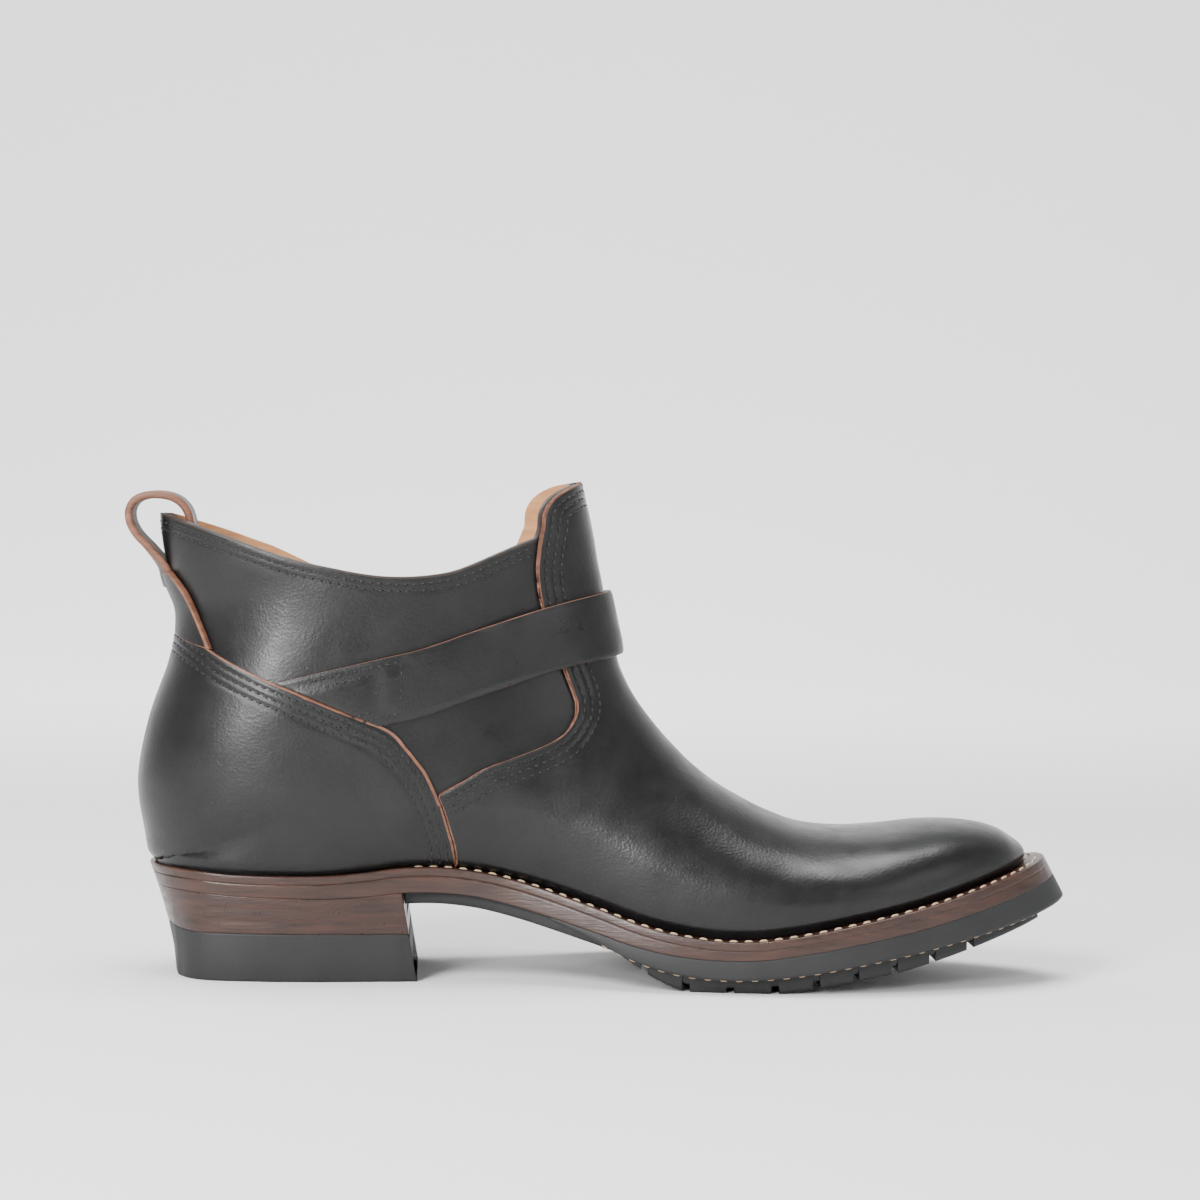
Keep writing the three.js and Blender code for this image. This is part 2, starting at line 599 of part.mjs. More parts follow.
const setBack = (points, distance) => points.map(([x, z]) => [x - distance, z]);
const flapLine = (side) => setBack(sidePoints(flapRows), side === outer ? flapSetBack : 0)
  .map(([x, z], i, all) => (i === all.length - 1 ? [sidePoints(flapRows).at(-1)[0], z] : [x, z]));
const dipAt = (x) => smooth(xAt(0.11), xAt(0.23), x) * (1 - smooth(xAt(0.38), xAt(0.5), x));
const collarLine = (side) => {
  const flap = flapLine(side);
  const collar = sidePoints(collarRows).map(([x, z]) => [x, side === outer ? z - collarDip * dipAt(x) : z]);
  return [...collar.filter(([x]) => x < flap[0][0] - 1), ...flap];
};
const aboveCollar = (side) => sideOf(side, [
  [-farOut, zAt(collarRows[0].up)], ...collarLine(side), [farOut, zAt(flapRows.at(-1).up)],
  [farOut, farOut], [-farOut, farOut],
]);
const cutCollar = (solid) => solid.subtract(aboveCollar(inner)).subtract(aboveCollar(outer));

const counterLine = softened(sidePoints(counterRows), 2);
const counterRegion = (side, clearance) => sideOf(side, [
  [-farOut, zAt(counterRows[0].up)], ...shifted(counterLine, clearance),
  [xAt(counterRows.at(-1).along) + clearance, -farOut], [-farOut, -farOut],
]);
const beyondCounter = (side) => sideOf(side, [
  [-farOut, zAt(counterRows[0].up)], ...counterLine, [xAt(counterRows.at(-1).along), -farOut],
  [farOut, -farOut], [farOut, farOut], [-farOut, farOut],
]);
const vampLine = (side) => softened(sidePoints(vampRows), 2).map(([x, z]) => {
  const onFlap = smooth(zAt(0.43), zAt(0.62), z);
  return [x - (side === outer ? flapSetBack * onFlap : 0), z];
});
const behindVamp = (side) => sideOf(side, [
  [vampLine(side)[0][0], farOut], ...vampLine(side), [xAt(0.3), -farOut],
  [-farOut, -farOut], [-farOut, farOut],
]);
const without = (solid, ...regions) => regions.reduce((left, region) => left.subtract(region), solid);

const upper = cutCollar(shell(-wall, 0));
const counter = without(shell(gap, gap + counterLeather), beyondCounter(inner), beyondCounter(outer));
const vamp = without(
  cutCollar(shell(gap, gap + vampLeather)),
  behindVamp(inner), behindVamp(outer), counterRegion(inner, gap), counterRegion(outer, gap),
);

// Strap, pull loop and buckle

// The direction square to the upper's outside at a section, side and share.
function upperNormal(section, side, share) {
  const [du, ds] = [0.15, 0.02];
  const pointAt = (u, s) => (s <= 1 ? upperPoint(u, side, s) : upperPoint(u, -side, 2 - s));
  const vector = (u, s) => new THREE.Vector3(...pointAt(u, s));
  const along = vector(section + du, share).sub(vector(section - du, share));
  const round = vector(section, share + ds).sub(vector(section, Math.max(0, share - ds)));
  const normal = along.cross(round).normalize();
  const row = sections(section);
  const middle = new THREE.Vector3((xAt(row.bottom) + xAt(row.crest)) / 2, 0, zAt((row.lift + row.top) / 2));
  return vector(section, share).sub(middle).dot(normal) < 0 ? normal.negate() : normal;
}

// A point at a distance out from the upper's outside.
function offUpper(section, side, share, distance) {
  const normal = upperNormal(section, side, share);
  return upperPoint(section, side, share).map((v, i) => v + normal.getComponent(i) * distance);
}

// The section in which the upper's outside passes a height that depends on x, at a share round the
// section.
const ankleSection = 11;
function sectionAtHeight(heightAt, side, share) {
  let [low, high] = [ankleSection, lastSection];
  range(30).forEach(() => {
    const middle = (low + high) / 2;
    const [x, , z] = upperPoint(middle, side, share);
    if (z < heightAt(x)) low = middle;
    else high = middle;
  });
  return (low + high) / 2;
}

// The section and share at a side-view point: the section is the one whose slanted line runs through it.
function placeOn(x, z) {
  const across = (section) => {
    const [bottom, crest] = [upperPoint(section, outer, 0), upperPoint(section, outer, 1)];
    return (crest[0] - bottom[0]) * (z - bottom[2]) - (crest[2] - bottom[2]) * (x - bottom[0]);
  };
  let [low, high] = [ankleSection, lastSection];
  range(30).forEach(() => {
    const middle = (low + high) / 2;
    if (across(middle) > 0) low = middle;
    else high = middle;
  });
  const section = (low + high) / 2;
  let [rear, front] = [0, 1];
  range(30).forEach(() => {
    const middle = (rear + front) / 2;
    if (upperPoint(section, outer, middle)[0] < x) rear = middle;
    else front = middle;
  });
  return [section, (rear + front) / 2];
}

// The strap's upper edge from the side.
const strapTopRows = [
  { along: 0.1, up: 0.468 },
  { along: 0.136, up: 0.492 },
  { along: 0.252, up: 0.558 },
  { along: 0.297, up: 0.583 },
  { along: 0.355, up: 0.629 },
  { along: 0.435, up: 0.69 },
  { along: 0.509, up: 0.728 },
  { along: 0.54, up: 0.742 },
];
const heightOf = (rows) => {
  const line = curveThrough(rows.map((row) => row.along), rows);
  return (x) => zAt(line((x + seatBehindOrigin) / lastLength).up);
};
const strapTop = heightOf(strapTopRows);
const strapPitch = Math.atan2(strapTop(xAt(0.4)) - strapTop(xAt(0.25)), xAt(0.4) - xAt(0.25));
const strapLow = (x) => strapTop(x) - strapWidth / Math.cos(strapPitch);
const railHeight = (across) => (x) => strapLow(x) + (strapTop(x) - strapLow(x)) * across;

// A band round the ankle: stations are a side and a share round the section, rails are places between the
// strap's lower edge (0) and its upper edge (1), and its distance out from the upper is a function of x
// and side.
function band(stations, rails, distanceAt, thickness) {
  return loft(stations.map(({ side, share }) => {
    const pairs = rails.map((across) => {
      const section = sectionAtHeight(railHeight(across), side, share);
      const from = distanceAt(upperPoint(section, side, share)[0], side);
      return [offUpper(section, side, share, from), offUpper(section, side, share, from + thickness)];
    });
    return [...pairs.map((pair) => pair[0]), ...pairs.map((pair) => pair[1]).reverse()];
  }));
}
const stationsBetween = (side, from, to, steps) => range(steps + 1).map((i) => ({
  side, share: from + ((to - from) * i) / steps,
}));
const overFlap = vampLeather + 2 * gap;
const overBar = 2 * buckleWire + 3 * gap;
const strapDistance = (x, side) => (side === inner
  ? gap + (overFlap - gap) * smooth(xAt(0.35), xAt(0.415), x)
  : overFlap + (overBar - overFlap) * (1 - smooth(xAt(0.42), xAt(0.49), x)));
const strapRails = [0, 0.33, 0.67, 1];
const wholeStrap = band([
  ...stationsBetween(inner, 0.24, 0.4, 4),
  ...stationsBetween(inner, 0.4, 1, 17).slice(1),
  ...stationsBetween(outer, 1, 0.4, 17).slice(1),
], strapRails, strapDistance, strapLeather);

// The strap's outer end is rounded; this is what lies past it in the side view.
const tailShare = 0.272;
const tailMiddle = [xAt(tailShare) + strapWidth / 2, railHeight(0.5)(xAt(tailShare) + strapWidth / 2)];
const strapFrame = ([x, z]) => [
  tailMiddle[0] + x * Math.cos(strapPitch) - z * Math.sin(strapPitch),
  tailMiddle[1] + x * Math.sin(strapPitch) + z * Math.cos(strapPitch),
];
const tailRadius = strapWidth * 0.56;
const tailClear = 4 * strapWidth;
const tailArc = range(9).map((i) => Math.PI / 2 + (Math.PI * i) / 8)
  .map((turn) => strapFrame([tailRadius * Math.cos(turn), tailRadius * Math.sin(turn)]));
const pastTail = sideOf(outer, [
  strapFrame([0, tailClear]), ...tailArc, strapFrame([0, -tailClear]),
  strapFrame([-farOut, -tailClear]), strapFrame([-farOut, tailClear]),
]);
const strap = wholeStrap.subtract(pastTail).subtract(counterRegion(inner, gap));

// The buckle on the outer side: a frame whose rear bar lies under the strap and whose front bar lies over
// it.
const buckleMiddle = 0.365;
const buckleX = xAt(buckleMiddle);
const barLow = gap + buckleWire;
const barHigh = overBar + strapLeather + gap + buckleWire;
const buckleSlack = 3.4; // the frame's middle line past the strap's edge
const buckleHalf = strapWidth / 2 + buckleSlack;
const buckleCorner = 0.72;
const acrossStrap = (reach, side) => [
  buckleX + reach * Math.cos(strapPitch) - side * Math.sin(strapPitch),
  railHeight(0.5)(buckleX) + reach * Math.sin(strapPitch) + side * Math.cos(strapPitch),
];
const offSide = ([x, z], distance) => {
  const [section, share] = placeOn(x, z);
  return new THREE.Vector3(...offUpper(section, outer, share, distance));
};
const framePath = range(24).map((i) => {
  const turn = (2 * Math.PI * i) / 24;
  const round = (value) => Math.sign(value) * Math.abs(value) ** (1 - buckleCorner);
  const reach = (buckleReach / 2) * round(Math.cos(turn));
  const side = buckleHalf * round(Math.sin(turn));
  const rise = smooth(-buckleReach / 2, buckleReach / 2, reach);
  return offSide(acrossStrap(reach, side), barLow + (barHigh - barLow) * rise);
});
// Rings of a round wire along a path of points.
function wireRings(path, closed, radiusAt, corners) {
  const count = path.length;
  return path.map((middle, i) => {
    const before = path[closed ? (i + count - 1) % count : Math.max(0, i - 1)];
    const after = path[closed ? (i + 1) % count : Math.min(count - 1, i + 1)];
    const along = after.clone().sub(before).normalize();
    const first = new THREE.Vector3(0, 1, 0).addScaledVector(along, -along.y).normalize();
    const second = along.clone().cross(first);
    return range(corners).map((c) => {
      const turn = (2 * Math.PI * c) / corners;
      return middle.clone()
        .addScaledVector(first, radiusAt(i) * Math.cos(turn))
        .addScaledVector(second, radiusAt(i) * Math.sin(turn))
        .toArray();
    });
  });
}
const buckleFrame = loft(wireRings(framePath, true, () => buckleWire, 8), true);
const prongRadius = 0.9;
const overStrap = overBar + strapLeather + gap + prongRadius;
const overFront = barHigh + buckleWire + gap + prongRadius;
const prongPath = [
  [-0.46, overStrap], [-0.2, overStrap + 0.1], [0.1, (overStrap + overFront) / 2],
  [0.5, overFront], [0.66, overFront],
].map(([share, distance]) => offSide(acrossStrap(buckleReach * share, 0), distance));
const bucklePin = loft(wireRings(prongPath, false, (i) => (i === 4 ? prongRadius * 0.8 : prongRadius), 8));

// The short strap from under the counter to the buckle's rear bar.
const holderSlack = 0.8;
const holderEnd = buckleX - buckleReach / 2 - buckleWire - gap - holderSlack;
const holderRails = [0.16, 0.5, 0.84];
const holderCorner = (up) => [
  holderEnd - up * strapWidth * Math.sin(strapPitch),
  railHeight(0.5)(holderEnd) + up * strapWidth * Math.cos(strapPitch),
];
const holderCut = sideOf(outer, [
  holderCorner(1),
  holderCorner(-1),
  [farOut, -farOut], [farOut, farOut],
]);
const buckleStrap = band(stationsBetween(outer, 0.24, 0.62, 10), holderRails, () => gap, overBar - 2 * gap)
  .subtract(holderCut)
  .subtract(counterRegion(outer, gap));

// The pull loop: it lies on the back seam above the counter, stands out from it as a loop over the collar
// and ends inside the boot. Rows are shares of its span from the collar's rear corner; hug is how far it
// follows the heel's round back.
const pullRows = [
  { back: 0.052, up: -0.6, hug: 1 },
  { back: 0.03, up: -0.53, hug: 1 },
  { back: 0.0, up: -0.43, hug: 0.8 },
  { back: -0.1, up: -0.29, hug: 0.4 },
  { back: -0.195, up: -0.175, hug: 0.1 },
  { back: -0.248, up: -0.065, hug: 0 },
  { back: -0.25, up: 0.035, hug: 0 },
  { back: -0.195, up: 0.115, hug: 0 },
  { back: -0.085, up: 0.152, hug: 0 },
  { back: 0.05, up: 0.148, hug: 0 },
  { back: 0.155, up: 0.105, hug: 0 },
  { back: 0.22, up: 0.02, hug: 0.1 },
  { back: 0.24, up: -0.1, hug: 0.3 },
  { back: 0.238, up: -0.25, hug: 0.7 },
  { back: 0.235, up: -0.4, hug: 1 },
  { back: 0.24, up: -0.525, hug: 1 },
  { back: 0.275, up: -0.675, hug: 1 },
  { back: 0.31, up: -0.8, hug: 1 },
];
const backCorner = [xAt(-0.0035), zAt(0.914)];
const backRadius = 15; // of the heel's back at the collar, seen from above
const pullAcross = [-1, -0.6, -0.2, 0.2, 0.6, 1].map((share) => (share * pullWidth) / 2);
const pullPath = softened(pullRows.map(({ back, up }) => [back, up]), 2)
  .map(([back, up], i) => ({
    x: backCorner[0] + back * pullSpan,
    z: backCorner[1] + up * pullSpan,
    hug: (pullRows[Math.floor(i / 2)].hug + pullRows[Math.ceil(i / 2)].hug) / 2,
  }));
const pullLoopRings = pullPath.map(({ x, z, hug }, i) => {
  const before = pullPath[Math.max(0, i - 1)];
  const after = pullPath[Math.min(pullPath.length - 1, i + 1)];
  const length = Math.hypot(after.x - before.x, after.z - before.z);
  const square = [(after.z - before.z) / length, -(after.x - before.x) / length];
  const sideAt = (half) => (y) => [
    x + square[0] * half + (hug * y * y) / (2 * backRadius), y, z + square[1] * half,
  ];
  return [...pullAcross.map(sideAt(pullLeather / 2)), ...pullAcross.map(sideAt(-pullLeather / 2)).reverse()];
});
const backStrapRows = [
  { along: -0.2, up: 0.77 },
  { along: -0.004, up: 0.77 },
  { along: 0.014, up: 0.768 },
  { along: 0.03, up: 0.725 },
  { along: 0.039, up: 0.69 },
  { along: 0.049, up: 0.642 },
  { along: 0.058, up: 0.598 },
  { along: 0.07, up: 0.545 },
  { along: 0.07, up: -0.5 },
];
const backStrapLine = sidePoints(backStrapRows);
const beyondBackStrap = prism([
  ...backStrapLine, [farOut, -farOut], [farOut, farOut], [-farOut, farOut], [-farOut, backStrapLine[0][1]],
], -farOut, farOut);
const backStrap = without(
  shell(gap, gap + pullLeather), beyondBackStrap, counterRegion(inner, gap), counterRegion(outer, gap),
);
const pullLoop = backStrap.add(loft(pullLoopRings));

// Naming and colours

const leatherBlack = 0x17171a;
const leatherBrown = 0x4a2417;
const rubberBlack = 0x242427;
const pieces = {
  upper: [upper, leatherBlack],
  vamp: [vamp, leatherBlack],
  counter: [counter, leatherBlack],
  strap: [strap, leatherBlack],
  pull_loop: [pullLoop, leatherBlack],
  buckle_strap: [buckleStrap, leatherBlack],
  buckle_frame: [buckleFrame, 0xb9b9bd],
  buckle_prong: [bucklePin, 0xb9b9bd],
  insole: [insole, 0xb98a5a],
  welt: [welt, leatherBrown],
  midsole: [midsole, leatherBrown],
  heel_stack: [heelStack, leatherBrown],
  heel_lift: [heelLift, rubberBlack],
  outsole: [outsole, rubberBlack],
};

function meshOf(name, solid, color) {
  const mesh = solid.getMesh();
  const count = mesh.vertProperties.length / mesh.numProp;
  const positions = new Float32Array(count * 3);
  range(count).forEach((i) => {
    range(3).forEach((c) => {
      positions[i * 3 + c] = mesh.vertProperties[i * mesh.numProp + c];
    });
  });
  const geometry = new THREE.BufferGeometry();
  geometry.setAttribute("position", new THREE.BufferAttribute(positions, 3));
  geometry.setIndex(Array.from(mesh.triVerts));
  geometry.computeVertexNormals();
  const made = new THREE.Mesh(geometry, new THREE.MeshStandardMaterial({ color, roughness: 0.6 }));
  made.name = name;
  return made;
}

const boot = new THREE.Group();
boot.name = "jodhpur_boot";
Object.entries(pieces).forEach(([name, [solid, color]]) => {
  boot.add(meshOf(name, solid, color));
});

export default boot;
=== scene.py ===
# %% [markdown]
# # A left jodhpur boot
# The boot stands on its heel and tread. Its main shape is one curved surface, the outside of the lasted
# upper. Every leather panel is a patch of that surface with a thickness, so panels overlap as they do on a
# real boot. Sizes below are millimetres in the frame of the CAD model: X to the toe, Y to the outer side, Z
# up.

import math

import bpy
import numpy as np
from mathutils import Matrix, Vector


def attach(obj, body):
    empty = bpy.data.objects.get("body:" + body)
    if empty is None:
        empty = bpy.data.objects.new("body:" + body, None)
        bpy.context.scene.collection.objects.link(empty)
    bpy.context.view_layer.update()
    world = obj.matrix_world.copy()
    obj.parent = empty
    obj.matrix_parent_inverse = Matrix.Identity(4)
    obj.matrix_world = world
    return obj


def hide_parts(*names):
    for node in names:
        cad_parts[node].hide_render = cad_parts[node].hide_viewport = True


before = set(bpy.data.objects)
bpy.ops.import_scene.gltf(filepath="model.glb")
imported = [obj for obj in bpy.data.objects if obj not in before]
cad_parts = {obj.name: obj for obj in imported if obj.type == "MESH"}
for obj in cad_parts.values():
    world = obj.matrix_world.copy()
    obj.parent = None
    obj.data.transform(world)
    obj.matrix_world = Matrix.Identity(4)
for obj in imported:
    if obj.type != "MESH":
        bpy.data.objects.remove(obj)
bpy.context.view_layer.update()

# %% [markdown]
# ## Sizes
# These are the lengths that the last maker and the sole cutter would work to.

# %% Sizes
MM = 0.001
LAST_LENGTH = 288
SEAT_BEHIND_ORIGIN = 46.4
BALL_WIDTH = 96
UPPER_HEIGHT = 128
HEEL_HEIGHT = 35
TOE_SPRING = 24
WALL = 2.4
VAMP_LEATHER = 1.8
COUNTER_LEATHER = 2.2
STRAP_LEATHER = 2.4
STRAP_WIDTH = 20.8
LOOP_LEATHER = 2.6
LOOP_SPAN = 40
LOOP_WIDTH = 18.6
WELT = 2.7
MIDSOLE = 2.9
OUTSOLE = 6.2
TREAD = 5.6
TREAD_INSET = 5.5
SETTLE = 0.7
WELT_MARGIN = 7.6
BACK_RAKE = 10
SIDE_TAPER = 2.6
TOE_FLARE = 3
BREAST_TOP = 33.4
BREAST_SLOPE = 6.4
LIFT = 15.6
WAIST_RUBBER = 4
WAIST_INSET = 5.5
GAP = 0.3
WELT_GAP = 0.6
MEDIAL = -1
LATERAL = 1


def smooth(start, end, x):
    """0 before start, 1 after end, and the cubic 3t^2 - 2t^3 between."""
    t = np.clip((np.asarray(x, float) - start) / (end - start), 0, 1)
    return t * t * (3 - 2 * t)


def curve_through(knots, rows):
    """A cubic through the rows; an inner slope is the mean of the steps beside it, each weighted by the
    other."""
    knots = np.asarray(knots, float)
    rows = np.asarray(rows, float)
    steps = np.diff(knots)[:, None]
    secants = np.diff(rows, axis=0) / steps
    inner = (steps[1:] * secants[:-1] + steps[:-1] * secants[1:]) / (steps[1:] + steps[:-1])
    slopes = np.vstack([secants[:1], inner, secants[-1:]])

    def at(x):
        """The row at x: the ends blended by 3t^2 - 2t^3, plus the slopes' shares."""
        x = np.asarray(x, float)
        k = np.clip(np.searchsorted(knots, x) - 1, 0, len(knots) - 2)
        span = (knots[k + 1] - knots[k])[..., None]
        t = (x - knots[k])[..., None] / span
        h01 = t * t * (3 - 2 * t)
        ends = rows[k] * (1 - h01) + rows[k + 1] * h01
        return ends + span * (t * (1 - t) ** 2 * slopes[k] + t * t * (t - 1) * slopes[k + 1])

    return at


def x_at(share):
    """A share of the last's length, as X."""
    return np.asarray(share, float) * LAST_LENGTH - SEAT_BEHIND_ORIGIN


def z_at(share):
    """A share of the upper's height, as Z."""
    return HEEL_HEIGHT + np.asarray(share, float) * UPPER_HEIGHT


# %% [markdown]
# ## The sole's line
# A boot's sole is level at the heel, drops through the waist to the ball and springs up to the toe. Rows:
# share along the last, share of the heel's rise, share of the toe spring, midsole and outsole thickness.

# %% Sole line and outline
BALL_STACK = TREAD - SETTLE + OUTSOLE + MIDSOLE + WELT + 2 * GAP
sole_row = curve_through(
    [-0.03, 0.03, 0.09, 0.15, 0.2, 0.245, 0.273, 0.302, 0.33, 0.372, 0.417, 0.463,
     0.509, 0.554, 0.6, 0.64, 0.68, 0.728, 0.785, 0.844, 0.904, 0.968, 1.03],
    [[1.09, 0, 1.4, 0], [1.07, 0, 1.4, 0], [1.01, 0, 1.4, 0], [0.995, 0, 1.45, 0], [1.01, 0, 1.6, 0],
     [1.08, 0, 1.75, 0], [1.14, 0, 1.8, 0], [1.165, 0, 1.82, 0], [1.155, 0, 1.8, 0], [1.08, 0, 1.77, 0],
     [0.92, 0, 1.75, 0], [0.705, 0, 1.68, 0.06], [0.465, 0, 1.55, 0.32], [0.225, 0, 1.4, 0.68],
     [0.065, 0, 1.2, 0.93], [0, 0, 1.04, 1], [0, 0.005, 1, 1], [0, 0.08, 1, 1.04], [0, 0.217, 1.08, 1.07],
     [0, 0.375, 1.18, 1.1], [0, 0.56, 1.25, 1.16], [0, 0.79, 1.3, 1.28], [0, 1.03, 1.3, 1.32]],
)


def at_x(x):
    """The sole row at X."""
    return sole_row((np.asarray(x, float) + SEAT_BEHIND_ORIGIN) / LAST_LENGTH)


def sole_top(x):
    """Height of the welt's top at X: the stack under the ball, plus the shares of heel rise and toe
    spring."""
    row = at_x(x)
    return BALL_STACK + row[..., 0] * (HEEL_HEIGHT - BALL_STACK) + row[..., 1] * TOE_SPRING


def sole_slope(x):
    """The angle of the welt's top at X."""
    return np.arctan(sole_top(x + 0.5) - sole_top(x - 0.5))


def midsole_bottom(x):
    """Depth of the midsole's underside below the welt's top."""
    return WELT + GAP + at_x(x)[..., 2] * MIDSOLE


def outsole_bottom(x):
    """Depth of the outsole's underside, without the tread, below the welt's top."""
    return midsole_bottom(x) + GAP + np.maximum(0.05, at_x(x)[..., 3]) * OUTSOLE


# Rows: share along, half width on the inner side and on the outer side as shares of the ball width, welt
# margin.
OUTLINE = np.array([
    [0, 0, 0, 0.46], [0.02, 0.178, 0.178, 0.46], [0.06, 0.27, 0.27, 0.44], [0.11, 0.3, 0.302, 0.4],
    [0.18, 0.297, 0.309, 0.42], [0.26, 0.262, 0.312, 0.5], [0.34, 0.237, 0.324, 0.6],
    [0.42, 0.25, 0.356, 0.74],
    [0.5, 0.316, 0.418, 0.88], [0.58, 0.392, 0.474, 0.98], [0.66, 0.432, 0.499, 1], [0.74, 0.438, 0.483, 1],
    [0.82, 0.408, 0.423, 1], [0.89, 0.342, 0.332, 1.02], [0.95, 0.238, 0.222, 1.06],
    [0.985, 0.132, 0.124, 1.1],
    [1, 0, 0, 1.12],
])


def angle_at(share):
    """The outline's angle at a share of its length: 0 at the heel's back, half a turn at the toe's tip."""
    return np.arccos(np.clip(1 - 2 * np.asarray(share, float), -1, 1))


MIRRORED = np.array([1, -1, -1, 1])
outline_row = curve_through(
    np.concatenate([[-angle_at(0.02)], angle_at(OUTLINE[:, 0]), [2 * math.pi - angle_at(0.985)]]),
    np.vstack([OUTLINE[1] * MIRRORED, OUTLINE, OUTLINE[-2] * MIRRORED])[:, 1:],
)


def half_width(row, side):
    """The half width of a row on a side, in millimetres."""
    return BALL_WIDTH * np.where(side < 0, row[..., 0], row[..., 1])


def outline_point(angle, side, distance):
    """A point of the last's outline, moved out by a distance square to it, and that direction."""
    def place(a):
        """A point of the outline at an angle."""
        return np.stack([x_at((1 - np.cos(a)) / 2), side * half_width(outline_row(a), side)], -1)

    along = place(angle + 0.004) - place(angle - 0.004)
    normal = side[..., None] * np.stack([-along[..., 1], along[..., 0]], -1)
    normal = normal / np.linalg.norm(normal, axis=-1, keepdims=True)
    return place(angle) + normal * np.asarray(distance)[..., None], normal


def sole_edge(angle, side, depth, inset):
    """The sole's edge at a depth: the welt's margin, less the heel's rake, plus the toe's flare, less an
    inset."""
    x = x_at((1 - np.cos(angle)) / 2)
    normal = outline_point(angle, side, 0 * angle)[1]
    heel = 1 - smooth(BREAST_TOP, BREAST_TOP + 30, x)
    lean = SIDE_TAPER + (BACK_RAKE - SIDE_TAPER) * normal[..., 0] ** 2
    rake = lean * (1 - (1 - np.clip(depth / HEEL_HEIGHT, 0, 1)) ** 1.4) * heel
    flare = TOE_FLARE * np.clip(normal[..., 0], 0, 1) ** 2 * depth / BALL_STACK
    margin = outline_row(angle)[..., 2] * WELT_MARGIN
    return outline_point(angle, side, margin - rake + flare - inset)[0]


def sole_point(angle, side, depth, inset):
    """A point of the sole's edge in space, at a depth below the welt's top and square to it."""
    angle, side, depth, inset = np.broadcast_arrays(angle, side, depth, inset)
    x0 = x_at((1 - np.cos(angle)) / 2)
    edge = sole_edge(angle, side, depth, inset)
    slope = sole_slope(x0)
    x, y = edge[..., 0], edge[..., 1]
    z = sole_top(x0) + (x - x0) * np.tan(slope) - depth * np.cos(slope)
    return np.stack([x + depth * np.sin(slope), y, z], -1)


print("welt height at heel, waist, ball and toe", sole_top(np.array([0.0, 41, 146, 240])).round(1))

# %% [markdown]
# ## The upper's outside
# Slanted sections run from the toe's tip back over the instep and round the ankle. In the side view each one
# is straight, from a bottom point to a crest point. Columns: bottom, lift, crest, top, half widths inside
# and outside, the widest place, and how full the section is below and above it.

# %% The lasted surface
SECTIONS = np.array([
    [0.998, 0.03, 1, 0.035, -0.05, -0.05, 0.5, 2, 2],
    [1.001, 0.017, 1.001, 0.052, 0, 0, 0.5, 2, 2], [1, 0, 0.998, 0.067, 0.05, 0.05, 0.5, 2, 2],
    [0.994, 0, 0.988, 0.085, 0.1, 0.097, 0.42, 2, 2], [0.977, 0, 0.969, 0.109, 0.182, 0.172, 0.35, 2, 2.1],
    [0.946, 0, 0.939, 0.123, 0.265, 0.247, 0.3, 2, 2.2],
    [0.901, 0, 0.892, 0.125, 0.346, 0.332, 0.28, 2, 2.25],
    [0.849, 0, 0.84, 0.11, 0.408, 0.412, 0.27, 2, 2.2], [0.793, 0, 0.788, 0.102, 0.443, 0.473, 0.27, 2, 2.1],
    [0.738, 0, 0.739, 0.114, 0.458, 0.511, 0.28, 2, 2], [0.678, 0, 0.689, 0.156, 0.456, 0.522, 0.3, 2, 1.9],
    [0.616, 0, 0.642, 0.216, 0.435, 0.51, 0.32, 2, 1.82], [0.547, 0, 0.6, 0.291, 0.4, 0.478, 0.34, 2, 1.78],
    [0.467, 0, 0.566, 0.372, 0.356, 0.428, 0.36, 1.8, 1.8],
    [0.373, 0, 0.54, 0.45, 0.328, 0.384, 0.36, 1.6, 1.85],
    [0.272, 0, 0.524, 0.519, 0.33, 0.364, 0.34, 1.5, 1.92],
    [0.178, 0, 0.518, 0.562, 0.343, 0.36, 0.33, 1.5, 2],
    [0.092, 0, 0.515, 0.598, 0.352, 0.364, 0.33, 1.55, 2.05],
    [0.027, 0, 0.511, 0.633, 0.358, 0.366, 0.33, 1.85, 2.1],
    [0, 0, 0.508, 0.664, 0.36, 0.366, 0.33, 2.2, 2.15],
    [-0.01, 0.08, 0.505, 0.695, 0.36, 0.365, 0.33, 2.25, 2.2],
    [-0.018, 0.213, 0.5, 0.746, 0.358, 0.362, 0.35, 2.25, 2.2],
    [-0.006, 0.369, 0.494, 0.809, 0.353, 0.357, 0.38, 2.2, 2.22],
    [0.016, 0.52, 0.489, 0.871, 0.35, 0.354, 0.42, 2.2, 2.25],
    [0.022, 0.642, 0.484, 0.922, 0.352, 0.355, 0.45, 2.2, 2.3],
    [0.007, 0.736, 0.479, 0.969, 0.358, 0.36, 0.47, 2.2, 2.3],
    [-0.004, 0.849, 0.474, 1.02, 0.364, 0.366, 0.48, 2.2, 2.3],
    [-0.007, 0.963, 0.47, 1.07, 0.37, 0.37, 0.48, 2.2, 2.3],
])
section_row = curve_through(np.arange(-1, 27), SECTIONS)
TOE_SECTION = 1
HEEL_SECTION = 18
HEEL_SHARE = 0.027
HEEL_REACH = 1.7
ANKLE_SECTION = 11
LAST_SECTION = 26
WIDEST = 0.4


